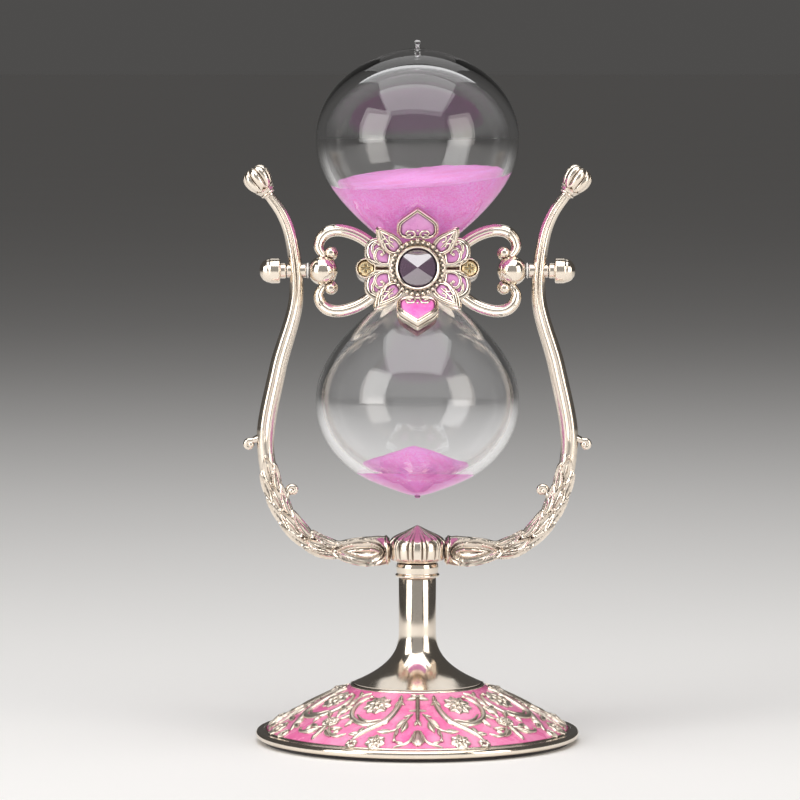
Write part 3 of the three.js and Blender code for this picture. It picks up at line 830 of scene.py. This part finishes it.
def almond(s, v, at, side, heading, length):
    """Height of a veined leaf with a raised edge, in a chart of the arm: s along it, v around it."""
    c, k = math.cos(heading), math.sin(heading)
    ds, dv = s - at, v - side
    u = (ds * c + dv * k) / length
    q = (-ds * k + dv * c) / (LEAF_WIDTH / 2)
    uu = np.clip(u, 0.001, 0.999)
    outline = np.sin(PI * uu ** 0.8) ** 0.8
    inside = np.where((u > 0) & (u < 1), outline - np.abs(q), -1)
    edge = np.clip(inside / 0.14, 0, 1)
    edge = edge * edge * (3 - 2 * edge)
    lip = ridge(inside, 0.24, 0.13)
    rib = ridge(q, 0, 0.12)
    body = 0.16 + 0.46 * lip + 0.34 * rib * np.clip(2 - 2.4 * uu, 0, 1)
    return edge * body * (0.7 + 0.5 * uu) * np.clip((1 - uu) / 0.1, 0.3, 1)


def teardrop(s, v, at, length, width):
    """Nested raised ridges in a teardrop that is round at `at` and pointed `length` further on."""
    u = (s - at) / length
    uu = np.clip(u, 0.001, 0.999)
    widest = 0.3
    end = (uu - widest) / np.where(uu < widest, widest, 1 - widest)
    outline = np.sqrt(np.clip(1 - end ** 2, 0, 1)) ** np.where(uu < widest, 1, 1.35)
    rho = np.where((u > 0) & (u < 1), np.abs(v) / (width / 2) + 1 - outline, 2)
    ridges = ridge(rho, 0.9, 0.12) + ridge(rho, 0.58, 0.1) + 0.8 * ridge(rho, 0.2, 0.12)
    return 0.75 * np.clip(ridges, 0, 1)


def arm_relief(s, front, back):
    """Height of the cast teardrop and leaves, the same on the front and the back of the rod."""
    relief = np.zeros_like(s)
    for v, hand in ((front, 1), (back, -1)):
        relief = np.maximum(relief, teardrop(s, v, 1.6, 18.5, 11.2))
        for at, side, heading, length in LEAVES:
            relief = np.maximum(relief, almond(s, v, at, side * hand, heading * hand, length))
    return np.maximum(relief, 0.4 * ridge(s, 0.9, 0.5))


def arm_rod(line, t):
    """The bare arm with its cast relief. t holds the line's directions."""
    step = distances(line)
    width = np.interp(step / step[-1], *zip(*ARM_WIDTH))[:, None]
    angle = even_turn(112)  # 0 at the front, a quarter turn at the outer edge
    s = step[:, None] * np.ones_like(angle)
    turn = (angle + PI) % (2 * PI) - PI
    back_turn = (angle + 2 * PI) % (2 * PI) - PI
    relief = arm_relief(s, turn * width / 2, back_turn * width / 2)

    # Above the leaves the rod is smooth, with a groove between two long ribs at the front and back.
    plain = np.clip((s - 62) / 8, 0, 1)
    across = np.sin(turn)[None, :]
    groove = 0.2 * plain * ridge(across, -0.05, 0.17)
    ribs = 0.03 * plain * ridge(np.abs(across), 0.45, 0.2)
    radius = width / 2 * (1 - groove + ribs) * (1 - 0.14 * (1 - plain)) + relief * 1.6

    deep = 0.93 + 0.36 * ridge(line[:, 1], PIVOT_Z, 9)  # thicker where the pivot runs through it
    x = line[:, 0][:, None] + t[:, 1][:, None] * radius * np.sin(angle)
    z = line[:, 1][:, None] - t[:, 0][:, None] * radius * np.sin(angle)
    y = -radius * np.cos(angle) * deep[:, None]
    return grid(np.stack([x, y, z], axis=2)[:, ::-1])


def pivot_boss():
    """Sleeve through the rod, with a flared root on each side of it."""
    inner, outer = 37.6, 44.2
    rod_x = (inner + outer) / 2
    boss = rounded([
        (1.62, inner), (2.2, inner), (2.45, inner + 0.3), (2.35, inner + 0.9), (2.35, rod_x - 1.6),
        (2.5, rod_x), (2.35, rod_x + 1.6), (2.35, outer - 0.9), (2.45, outer - 0.3), (2.2, outer),
        (1.62, outer),
    ], 0.3)
    return turned(boss, 64, loop=True)


def arm_curl(root, centre, radius, start, sweep, count=48):
    """A tapered curl from the arm's edge, with a bead at its inner end."""
    u = np.linspace(0, 1, 10)
    a = start + sweep * u
    r = radius * (1 - 0.62 * u)
    spiral = np.stack([centre[0] + r * np.cos(a), centre[1] + r * np.sin(a)], axis=1)
    path = smooth_curve(np.concatenate([[root], spiral]), count)
    thick = np.interp(np.linspace(0, 1, count), (0, 0.16, 0.35, 1), (2.4, 1.5, 1.1, 0.8))
    curl = rod(stood_up(path), thick, (0, 1, 0), 16)
    return curl.join(ball((spiral[-1][0], 0, spiral[-1][1]), 1.25, 1, 10, 18))


def build_arm(line, t):
    arm = arm_rod(line, t)
    arm.join(pivot_boss(), TO_PIVOT @ ALONG_X)
    arm.join(arm_curl((52.2, 103.6), (57.0, 100.9), 1.45, 0.62 * PI, -1.7 * PI))
    arm.join(arm_curl((45.4, 81.6), (42.3, 85.4), 1.5, 0.1 * PI, 1.7 * PI))
    return arm


def build_finial():
    """A closed bud of eight plump petals above a calyx of pointed leaves."""
    petals = 8

    def lobed(angle, r, z):
        lobe = np.abs(np.cos(angle * petals / 2))
        depth = np.clip((z - 3.0) / 1.5, 0, 1) * 0.24
        return r * (1 - depth * (1 - lobe ** 0.55))

    profile = smooth_curve([
        (1.9, 0), (2.1, 1.2), (2.7, 2.4), (3.5, 3.6), (4.3, 5.2), (4.7, 6.8), (4.65, 8.4), (4.15, 9.8),
        (3.3, 10.7), (2.2, 11.1), (1.0, 10.95), (0.0, 10.7),
    ], 64)
    profile = np.concatenate([[(0, 0)], profile])
    profile[-1, 0] = 0
    bud = turned(profile, 288, lobed)
    u = np.linspace(0, 1, 14)[:, None]
    v = np.linspace(-1, 1, 9)[None, :]
    wide = 1.5 * np.sin(PI * np.clip(u, 0.15, 0.985) ** 0.75) ** 0.8
    reach = 2.0 + 0.75 * np.sin(u * 1.2) + 1.5 * u ** 3 + 0.15 * (1 - v ** 2)
    height = 1.0 + 3.0 * u - 0.9 * u ** 4
    outer = np.stack([reach, v * wide, height + 0 * v], axis=2)
    inner = outer - np.array([0.35, 0, -0.1])
    leaf = grid(np.concatenate([outer, inner[:, ::-1]], axis=1))
    for k in range(6):
        bud.join(leaf, Matrix.Rotation(2 * PI * k / 6 + PI / 6, 4, "Z"))
    ring = rounded([(1.6, 0.6), (2.3, 0.6), (2.75, 1.1), (2.3, 1.6), (1.6, 1.6)], 0.3)
    return bud.join(turned(ring, 64, loop=True))


def build_arms():
    line = smooth_curve(ARM_ROUTE, 760)
    t = tangents(line)
    arm = build_arm(line, t)
    bud = build_finial()
    lean = math.atan2(t[-1, 0], t[-1, 1])
    stand_up = Matrix.Translation((line[-1, 0], 0, line[-1, 1])) @ Matrix.Rotation(lean, 4, "Y")
    for side, flip in SIDES:
        piece(side + "_yoke_arm", arm, CAST, "stand", [side + "_arm"], flip)
        piece(side + "_bud", bud, CAST, "stand", [side + "_finial"], flip @ stand_up)


# ---- Pivot and brackets ----

def build_pivot():
    knob = rounded([
        (1.6, 44.4), (2.35, 44.4), (2.65, 44.7), (2.65, 46.35), (3.9, 46.4), (4.3, 46.75), (4.3, 49.6),
        (4.05, 50.1), (3.9, 50.9), (3.2, 52.2), (1.9, 53.1), (0.7, 53.4), (0, 53.42),
    ], 0.35)
    knob = turned(knob, 96)
    washer = rounded([
        (1.62, 36.8), (2.45, 36.8), (2.6, 36.95), (2.6, 37.25), (2.45, 37.4), (1.62, 37.4),
    ], 0.1)
    washer = turned(washer, 64, loop=True)
    for side, flip in SIDES:
        place = CRADLE @ flip @ ALONG_X
        piece(side + "_acorn_knob", knob, SILVER, "tumbler", [side + "_pivot_knob"], place)
        piece(side + "_friction_washer", washer, NYLON, "tumbler", [side + "_pivot_washer"], place)


def grooved(angle):
    """Section of a scroll, with a groove along its front and back."""
    front = ridge(np.abs(np.sin(angle)), 0.9, 0.14)
    return 1 - 0.16 * front * (np.abs(np.cos(angle)) < 0.45)


def pivot_ball():
    """The ball on its pin, and the flanged disc behind it."""
    t = np.linspace(-PI / 2, PI / 2, 28)
    sphere = np.stack([BALL_R * np.cos(t), BALL_X + BALL_R * np.sin(t)], axis=1)
    sphere = [tuple(p) for p in sphere if p[1] < 36.5] + [(1.9, 36.6), (1.6, 36.6), (1.6, 30.4), (0, 30.4)]
    sphere[0] = (0, sphere[0][1])
    made = turned(rounded(sphere, 0.15), 72)
    disc = [(0, 27.1), (1.6, 27.3), (2.6, 27.6), (3.5, 28.2), (3.6, 28.8), (3.0, 29.3), (0, 29.3)]
    return made.join(turned(rounded(disc, 0.3), 56))


def build_bracket():
    """Pivot ball, two mirrored scrolls that end in balled volutes, and the clamped tongue."""
    scroll = smooth_curve([
        (14.0, 7.8), (19.2, 11.4), (23, 13.0), (26.8, 13.7), (30.2, 13.1), (32.6, 11.0), (33.4, 8.3),
        (32.4, 5.9), (30.5, 4.3), (28.5, 4.5), (27.7, 6.0), (28.7, 7.4), (30.0, 6.9),
    ], 150)
    thick = np.interp(np.linspace(0, 1, 150), (0, 0.1, 0.52, 0.66, 0.8, 1), (1.95, 2.1, 2.1, 1.8, 1.1, 0.6))
    half = rod(stood_up(scroll), thick, (0, 1, 0), 40, 1.0, grooved)
    half.join(ball((29.3, -0.2, 6.0), 2.1, 1, 14, 26))
    half.join(ball((31.9, 0, 4.3), 1.5, 1, 10, 20))  # where the scroll meets the pivot ball
    made = Shape().join(half).join(half, UPSIDE_DOWN)
    made.join(pivot_ball(), ALONG_X)

    tongue = rounded([(-1.5, -8.9), (1.5, -8.9), (1.5, 8.9), (-1.5, 8.9)], 0.3)
    narrow = (0.97, 0.996)
    sections = ((13.3, narrow), (13.5, (1, 1)), (17.2, (1, 1)), (17.4, narrow))
    made.join(grid([[(x, y * wide, z * high) for y, z in tongue] for x, (wide, high) in sections]))
    eye = rounded([(1.72, -1.5), (3.1, -1.5), (3.3, -1.3), (3.3, 1.3), (3.1, 1.5), (1.72, 1.5)], 0.2)
    made.join(turned(eye, 48, loop=True), Matrix.Translation((SCREW_X, 0, 0)) @ FRONTWARDS)
    return made


def build_brackets():
    bracket = build_bracket()
    for side, flip in SIDES:
        place = CRADLE @ flip
        piece(side + "_scroll_bracket", bracket, SILVER, "tumbler", [side + "_bracket"], place)


# ---- Glass and sand ----

def bezier(p0, p1, p2, p3, count):
    """Points on a cubic curve."""
    t = np.linspace(0, 1, count)[:, None]
    p0, p1, p2, p3 = map(np.array, (p0, p1, p2, p3))
    return (1 - t) ** 3 * p0 + 3 * t * (1 - t) ** 2 * p1 + 3 * t * t * (1 - t) * p2 + t ** 3 * p3


def waist_to_middle(count):
    """The upper bulb's outer profile from the waist to its widest circle."""
    lower = bezier((NECK_R, 0.0), (NECK_R, 5.2), (12.5, 10.2), (20.5, 18.1), count)[:-1]
    upper = bezier((20.5, 18.1), (27.5, 25.0), (BULB_R, 33.5), (BULB_R, BULB_MID), count)
    return np.concatenate([lower, upper])


def dome(r, rise, count, drawn):
    """The bulb beyond its widest circle. drawn pulls its middle out towards the nib."""
    a = np.linspace(0, 1.535, count)[1:]
    out = r * np.cos(a)
    return np.stack([out, BULB_MID + rise * np.sin(a) + drawn * np.exp(-(out / 7.5) ** 2)], axis=1)


def bulb_inside(end_wall, inset=0.0):
    """The cavity's profile from the waist to the end, `inset` further in than the glass."""
    count = 30
    side = waist_to_middle(count)
    side[:, 0] -= WALL + inset
    side = side[side[:, 1] > 6.0]
    throat = 1.2 - min(inset, 0.3)
    side = side[side[:, 0] > throat]
    rise = BULB_RISE - end_wall - inset
    drawn = 1.2
    far = dome(BULB_R - WALL - inset, rise, count, drawn)
    end = [(0, BULB_MID + rise + drawn)]
    return np.concatenate([[(throat, 0), (throat, 2.5), (throat, 4.5)], side, far, end])


def build_glass():
    upper_nib = smooth_curve([
        (0.95, 75.7), (0.68, 76.2), (0.66, 76.6), (1.05, 77.1), (1.1, 77.6), (0.7, 78.15), (0, 78.35),
    ], 30)
    lower_nib = smooth_curve([(1.1, 76.15), (0.9, 76.5), (0.85, 76.75), (0.5, 76.95), (0, 77.0)], 20)
    upper_nib[-1, 0] = lower_nib[-1, 0] = 0
    upper = np.concatenate([waist_to_middle(48), dome(BULB_R, BULB_RISE, 60, 1.0)[:-1], upper_nib])
    lower = np.concatenate([waist_to_middle(48)[1:], dome(BULB_R, BULB_RISE, 60, 1.6)[:-1], lower_nib])
    outer = np.concatenate([lower[::-1] * (1, -1), upper])
    inner = np.concatenate([bulb_inside(LOWER_END)[:0:-1] * (1, -1), bulb_inside(UPPER_END)])
    glass = turned(outer, 192).join(turned(inner[::-1], 192))
    piece("timer_glass", glass, GLASS, "tumbler", ["upper_bulb", "lower_bulb"], CRADLE)

    waist = waist_to_middle(40)
    waist = waist[waist[:, 1] < 3.6] + (0.12, 0)
    inner = np.concatenate([waist[::-1], waist[1:] * (1, -1)])
    sleeve = np.concatenate([[(6.0, -3.4), (6.2, -3.2), (6.2, 3.2), (6.0, 3.4)], inner])
    sleeve = turned(sleeve, 96, loop=True)
    piece("soft_sleeve", sleeve, RUBBER, "tumbler", ["neck_sleeve"], CRADLE)


def wobble(x, y, seed):
    """Small smooth unevenness for a sand surface."""
    return (
        0.16 * np.sin(0.31 * x + 1.7 * seed) * np.cos(0.27 * y + seed)
        + 0.10 * np.sin(0.83 * x - 0.5 * y + 2.1 * seed)
        + 0.06 * np.sin(1.7 * x + 1.3 * y + seed)
    )


def fill_shape(profile, surface):
    """Sand in a bowl. The skin follows the bowl's profile up to surface(x, y), and the top lies on it."""
    def r_of(z):
        return np.interp(z, profile[:, 1], profile[:, 0])

    angle = even_turn(144)
    c, s = np.cos(angle), np.sin(angle)
    low = profile[0, 1]
    # Height at which the surface meets the bowl, found by repeated looks
    meet = np.full(len(angle), profile[-1, 1] * 0.5 + low * 0.5)
    for _ in range(60):
        r = r_of(meet)
        meet = 0.5 * meet + 0.5 * surface(r * c, r * s)
    rows = []
    for f in np.linspace(0, 1, 70) ** 0.8:
        z = low + (meet - low) * f
        rows.append(round_row(angle, r_of(z), z))
    rim = r_of(meet)
    for f in np.linspace(1, 0, 46)[1:]:
        rows.append(round_row(angle, rim * f, surface(rim * f * c, rim * f * s)))
    rows = np.array(rows)
    rows[0] = rows[0].mean(axis=0)
    rows[-1] = rows[-1].mean(axis=0)
    return drop_axis(grid(rows, caps=False))


SAND_SLOPE = 0.205  # the upper sand lies higher at the back of the glass


def slumped(x, y):
    """Surface of the upper sand, as it settled when the glass was last tilted."""
    edge = np.hypot(x, y) / 26
    return 31.1 + 0.071 * x + SAND_SLOPE * y + 0.5 * edge ** 4 + wobble(x, y, 1)


def heaped(x, y):
    """Surface of the lower sand: a low cone under the throat."""
    r = np.sqrt((x + 1.2) ** 2 + y ** 2 + 3)
    return -67.0 + 7.9 * (1 - r / 19.5) + 0.13 * y + wobble(x, y, 2)


def build_sand():
    inside = bulb_inside(UPPER_END, -CONTACT)
    inside = np.concatenate([[(0, 2.8), (0.8, 3.0)], inside[inside[:, 1] > 3.2]])
    funnel = inside[:int(np.argmax(inside[:, 0])) + 1]
    sand = fill_shape(funnel, slumped)
    piece("upper_sand_fill", sand, SAND, "tumbler", ["upper_sand"], CRADLE)

    inside = bulb_inside(LOWER_END, -CONTACT)
    bowl = inside[int(np.argmax(inside[:, 0])):][::-1] * (1, -1)
    bowl[0, 0] = 0
    sand = fill_shape(bowl, heaped)
    piece("lower_sand_heap", sand, SAND, "tumbler", ["lower_sand"], CRADLE)


# ---- Clamp plates ----

def outline_curve(points, count):
    """A closed outline through points, with even steps, counter-clockwise."""
    line = smooth_curve(points, count + 1, closed=True)[:-1]
    area = np.sum(line[:, 0] * np.roll(line[:, 1], -1) - np.roll(line[:, 0], -1) * line[:, 1])
    return line if area > 0 else line[::-1]


def inset(line, amount):
    """The outline moved inwards by amount."""
    d = np.roll(line, -1, axis=0) - np.roll(line, 1, axis=0)
    d /= np.maximum(1e-9, np.linalg.norm(d, axis=1))[:, None]
    return line + np.stack([-d[:, 1], d[:, 0]], axis=1) * amount


# The side of a plate in (inset, share of the depth) steps, with a groove round it
SIDE_STEPS = [(-0.1, 1), (-0.06, 0.62), (0.32, 0.58), (0.32, 0.46), (-0.02, 0.42)]
# Its rim in (inset, height) steps: bevel, fine groove, raised line, and the step down inside
RIM_STEPS = [
    (0.0, -0.35), (0.12, -0.1), (0.35, 0.04), (0.55, 0.0), (0.68, -0.2), (0.8, -0.2), (0.92, 0.06),
    (1.1, 0.14), (1.28, 0.06), (1.36, -0.3), (1.42, -0.62),
]
# The enamel in (share of the way out, height) steps
FILL_STEPS = [
    (1.0, -0.62), (0.985, -0.42), (0.95, -0.28), (0.86, -0.17), (0.7, -0.09), (0.45, -0.04), (0.2, -0.02),
    (0.0, -0.02),
]


def enamelled(points, middle, volutes, colour, depth, shear, wire=0.4):
    """A rimmed plate with a pillow of enamel inside and volutes over it. middle is a point that sees the
    whole outline. shear slides the back of the plate along its length, as the casting's draft does."""
    line = outline_curve(points, 120)
    middle = np.asarray(middle, float)

    def level(flat, h):
        return np.stack([flat[:, 0], flat[:, 1] + shear * h / -depth, np.full(len(flat), h)], axis=1)

    rows = [level(np.zeros_like(line) + middle, -depth)]
    rows += [level(inset(line, amount), -depth * share) for amount, share in SIDE_STEPS]
    rows += [level(inset(line, amount), h) for amount, h in RIM_STEPS]
    metal_rows = len(rows)
    pool = inset(line, RIM_STEPS[-1][0] - 0.02)
    rows += [level(middle + (pool - middle) * share, h) for share, h in FILL_STEPS]
    made = grid(rows[:metal_rows + 1], caps=False)
    made.join(grid(rows[metal_rows:], caps=False, slot=colour))
    for curl in volutes:
        made.join(relief_curl(curl, wire))
    return made


def relief_curl(points, radius):
    """A flattened wire lying on a plate, thicker in the middle, with a bead at its inner end."""
    count, flat = 30, 0.8
    line = np.pad(smooth_curve(points, count), ((0, 0), (0, 1)))
    thick = radius * (0.75 + 0.35 * np.sin(PI * np.linspace(0, 1, count)))
    made = rod(line, thick, (0, 0, 1), 12, flat)
    return made.join(ball(line[-1], radius * 1.2, flat, 8, 14))


# Outlines of the petals: across, and outwards from the middle of the plate
SPADE = [
    (0, 26.9), (1.1, 26.1), (3.4, 23.9), (5.6, 21.7), (6.7, 20.0), (7.0, 17.8), (6.8, 15.4), (5.8, 13.9),
    (4.0, 13.2), (2.0, 13.1), (0, 13.1),
]
SPADE_CURL = [
    (5.3, 14.7), (3.7, 13.7), (2.0, 13.7), (0.85, 15.0), (1.4, 16.5), (2.8, 16.9), (3.8, 15.9), (3.3, 14.9),
    (2.6, 15.3),
]
WING = [
    (-0.9, 9.4), (1.4, 9.4), (2.8, 10.8), (3.3, 13.2), (3.0, 15.8), (2.0, 18.4), (0.6, 20.6), (-0.6, 21.4),
    (-1.2, 20.6), (-1.9, 18.4), (-2.7, 15.8), (-3.1, 13.0), (-2.5, 10.6),
]
WING_CURLS = [
    [(-1.6, 11.6), (-1.9, 14.0), (-1.1, 16.4), (-0.2, 15.4), (-0.5, 14.2)],
    [(1.9, 11.2), (2.5, 13.6), (1.7, 15.8), (0.9, 14.8), (1.2, 13.8)],
    [(0.4, 12.4), (0.4, 15.4), (-0.1, 19.4)],
    [(0.2, 17.0), (1.4, 17.6), (1.9, 16.9)],
]
LOBE = [
    (9.2, 0.8), (12.2, 0.5), (15.2, 1.2), (17.2, 2.9), (17.9, 5.6), (17.3, 8.2), (15.2, 10.0), (12.4, 10.3),
    (10.2, 9.4), (8.5, 7.4), (8.3, 4.0),
]
LOBE_CURLS = [
    [(9.4, 1.3), (12.2, 1.4), (14.0, 2.8), (14.3, 4.9), (13.2, 6.5), (11.7, 6.3), (11.2, 5.1), (12.0, 4.6)],
    [(14.3, 4.2), (15.2, 6.0), (14.9, 7.8), (13.6, 8.6), (12.9, 8.0)],
    [(9.8, 7.6), (11.2, 8.9), (12.4, 9.0)],
]


def mirrored(points):
    """A whole outline from its right-hand half, whose ends lie on the middle line."""
    return points + [(-x, y) for x, y in points[-2:0:-1]]


def petal_place(lean, turn, foot):
    """Puts a flat petal (x across, y outwards, z towards the viewer) on the front of the clamp."""
    lean_out = Matrix.Rotation(lean, 4, "X")
    hinge = Matrix.Translation((0, -3, -9))
    return Matrix.Rotation(turn, 4, "Y") @ Matrix.Translation((0, -foot, 9)) @ lean_out @ hinge @ FRONTWARDS


def add_spades(made):
    """The large petals at the top and the bottom."""
    curls = [SPADE_CURL, [(-x, y) for x, y in SPADE_CURL]]
    # The top spade takes the enamel copy with painted shade (slot 1), the bottom spade the hot pink (slot
    # 2).
    for turn, colour, shear in ((0, 1, -2.0), (PI, 2, 0.5)):
        spade = enamelled(mirrored(SPADE), (0, 18.2), curls, colour, 3.2, shear)
        spade.join(ball((0, 17.0, 0.0), 0.45, 0.8, 8, 12))
        spade.join(ball((0, 12.6, 0.0), 0.75, 0.8, 8, 12))
        made.join(spade, petal_place(0.838, turn, 11.2))


def add_wings(made):
    """The four narrow petals on the diagonals."""
    for _, flip in SIDES:
        for up, shear in ((UNTURNED, -0.6), (UPSIDE_DOWN, 0.5)):
            wing = enamelled(WING, (0.3, 14.4), WING_CURLS, 1, 3.0, shear, 0.32)
            made.join(wing, flip @ up @ petal_place(0.52, math.radians(47), 10))


def add_lobes(made):
    """Side lobes with comma volutes, the twin stems between them, and the screw bosses."""
    place = Matrix.Translation((0, -12.6, 0)) @ FRONTWARDS
    lobe = enamelled(LOBE, (12.8, 5.4), LOBE_CURLS, 1, 2.9, 0.0, 0.52)
    stem = rod([(8.9, 0.85, -0.2), (11, 0.9, -0.1), (14.6, 0.9, -0.3)], 0.4, (0, 0, 1), 14)
    boss = turned(rounded([
        (1.7, 1.65), (3.4, 1.65), (3.4, 12.7), (3.15, 13.0), (2.95, 12.9), (2.85, 12.4), (2.85, 10.3),
        (1.7, 10.3),
    ], 0.15), 72, loop=True)
    for _, flip in SIDES:
        for up in (UNTURNED, UPSIDE_DOWN):
            made.join(lobe, flip @ up @ place)
            made.join(stem, flip @ up @ place)
        made.join(boss, flip @ Matrix.Translation((SCREW_X, 0, 0)) @ FRONTWARDS)


def build_plate():
    made = Shape()
    add_spades(made)
    add_wings(made)
    add_lobes(made)
    # Round middle that carries the bezel, hollowed behind for the glass
    cup = rounded([
        (0, 10.6), (7.0, 10.6), (7.0, 3.0), (8.6, 3.0), (8.6, 8.0), (9.7, 9.0), (9.7, 12.7), (9.5, 12.95),
        (6.0, 12.9), (5.9, 12.0), (0, 12.0),
    ], 0.15)
    return made.join(turned(cup, 96), FRONTWARDS)


def build_bezel():
    """A ring of beads outside a smooth collar that holds the stone."""
    made = turned(rounded([
        (6.5, 13.1), (9.2, 13.1), (9.25, 13.4), (8.9, 13.55), (7.85, 13.45), (7.7, 14.1), (7.55, 14.8),
        (7.1, 15.15), (6.65, 14.9), (6.5, 14.2),
    ], 0.15), 96, loop=True)
    beads, bead_r = 30, 0.66
    for k in range(beads):
        angle = 2 * PI * (k + 0.5) / beads
        reach = bead_r + 0.42 * abs(math.sin(angle)) ** 8  # the beads at the top and bottom are drawn out
        place = Matrix.Rotation(angle, 4, "Z") @ Matrix.Translation((8.0 + reach, 0, 13.85))
        made.join(ball((0, 0, 0), bead_r, 1, 10, 16), place @ Matrix.Diagonal((reach / bead_r, 1, 1, 1)))
    return made


def build_crystal():
    """A pointed stone: four broad facets meet at its tip and run out to a round girdle."""
    turn = even_turn(72) + PI / 72
    girdle, tip = 6.0, 16.2
    tall = 1.03
    # The facets above and below the tip are steeper than those at its sides
    fall = np.maximum(0.44 * np.abs(np.sin(turn)), 0.30 * np.abs(np.cos(turn)))
    rows = [round_row(turn, r, h, tall) for r, h in ((0, 12.2), (3.4, 12.3), (6.4, 12.5))]
    for share in (1, 0.75, 0.5, 0.25, 0):
        r = girdle * share
        rows.append(round_row(turn, r, tip - fall * r, tall))
    return drop_axis(grid(rows, caps=False))


def build_foil():
    """A thin dish behind the stone."""
    return turned([
        (0, 12.05), (3.6, 12.3), (6.4, 13.2), (6.52, 14.0), (6.45, 14.0), (6.3, 13.3), (3.5, 12.5),
        (0, 12.2),
    ], 48)


def build_screw():
    """Pan head with a cross recess, on a plain shank."""
    a = even_turn(96)
    rows = []
    for f in np.linspace(0, 1, 40):
        r = 2.7 * f
        across = np.abs(r * np.cos(a))
        along = np.abs(r * np.sin(a))
        in_arm = 1 / (1 + np.exp((np.minimum(across, along) - 0.42) / 0.05))
        in_reach = 1 / (1 + np.exp((np.maximum(across, along) - 1.55) / 0.06))
        crown = 12.0 - 0.62 * f ** 4 - 0.15 * f ** 2
        rows.append(round_row(a, r, crown - 0.95 * in_arm * in_reach))
    for r, h in (
        (2.75, 11.1), (2.75, 10.5), (2.6, 10.35), (1.5, 10.35), (1.45, 10.0), (1.45, -9.0), (1.2, -9.3),
        (0, -9.3),
    ):
        rows.append(round_row(a, r, h))
    return drop_axis(grid(rows[::-1], caps=False))


def build_clamp():
    plate = build_plate()
    bezel = build_bezel()
    crystal = build_crystal()
    foil = build_foil()
    for face, turn in (("front", UNTURNED), ("rear", HALF_TURN)):
        place = CRADLE @ turn
        out = place @ FRONTWARDS
        # Slot 1 is the enamel copy with painted shade, slot 2 the hot pink.
        colours = [SILVER, SHADED_PINK, HOT]
        piece(face + "_flower_plate", plate, colours, "tumbler", [face + "_clamp_plate"], place)
        piece(face + "_beaded_bezel", bezel, SILVER, "tumbler", [face + "_bezel"], out)
        piece(face + "_stone", crystal, CRYSTAL, "tumbler", [face + "_crystal"], out, flat=True)
        piece(face + "_stone_foil", foil, FOIL, "tumbler", [], out)
    screw = build_screw()
    for side, flip in SIDES:
        place = CRADLE @ flip @ Matrix.Translation((SCREW_X, 0, 0)) @ FRONTWARDS
        piece(side + "_cross_screw", screw, BRASS, "tumbler", [side + "_clamp_screw"], place)


def dress_hidden_nodes():
    """The bolt, its washer and the pivot pins keep their CAD shape."""
    for node in ("tie_bolt", "tie_washer", "right_pivot_pin", "left_pivot_pin"):
        obj = frame["nodes"][node]
        obj.data.materials.clear()
        obj.data.materials.append(STEEL)


# ---- Stage ----

def softbox(name, azimuth, elevation, distance, size, glow, colour=(1, 1, 1)):
    """A soft rectangular light that faces the object. Azimuth 0 is the front and 90 the right."""
    a, e = math.radians(azimuth), math.radians(elevation)
    aim = Vector((0, 0, 0.13))
    away = Vector((math.sin(a) * math.cos(e), -math.cos(a) * math.cos(e), math.sin(e)))
    data = bpy.data.lights.new(name, "AREA")
    data.shape = "RECTANGLE"
    data.size, data.size_y = size
    data.energy = glow * PI * size[0] * size[1]
    data.color = colour
    lamp = bpy.data.objects.new(name, data)
    lamp.location = aim + away * distance
    lamp.rotation_euler = (-away).to_track_quat("-Z", "Y").to_euler()
    bpy.context.scene.collection.objects.link(lamp)


def build_floor():
    bpy.ops.mesh.primitive_plane_add(size=400, location=(0, 0, 0))
    floor = bpy.context.object
    floor.name = "floor"
    n = Nodes("pale_floor")
    tone = n.mix(n.noise(3, 2, 0.5), rgb(0.92, 0.91, 0.90), rgb(0.95, 0.94, 0.93))
    n.set(Base_Color=tone, Roughness=0.6)
    floor.data.materials.append(n.material)


def build_room():
    softbox("left_softbox", -54, 19, 1.5, (0.82, 1.17), 4.0, (1, 0.98, 0.95))
    softbox("right_softbox", 54, 14, 1.5, (0.74, 1.09), 3.3, (1, 0.95, 0.89))
    softbox("top_panel", -4, 72, 1.3, (1.5, 1.35), 2.7)
    softbox("front_fill", 0, 16, 2.2, (2.6, 2.2), 0.26)
    softbox("rear_panel", 180, 50, 1.6, (1.2, 0.6), 0.8)
    world = bpy.data.worlds.new("soft_room")
    world.use_nodes = True
    world.node_tree.nodes["Background"].inputs["Color"].default_value = rgb(0.075, 0.073, 0.071)
    bpy.context.scene.world = world
    bpy.context.scene.view_settings.view_transform = "Standard"


def build_camera():
    """A long lens in front of the object, looking a little down."""
    looking_down = 4.0
    camera = bpy.data.cameras.new("camera")
    camera.lens = 213
    camera.sensor_width = 36
    camera.clip_end = 400
    eye = bpy.data.objects.new("camera", camera)
    eye.location = (-0.0059, -1.6, 0.228)
    eye.rotation_euler = (math.radians(90 - looking_down), 0, 0)
    bpy.context.scene.collection.objects.link(eye)
    bpy.context.scene.camera = eye


build_floor()
build_room()
build_camera()
build_base()
build_stem()
build_arms()
build_pivot()
build_brackets()
build_glass()
build_sand()
build_clamp()
dress_hidden_nodes()
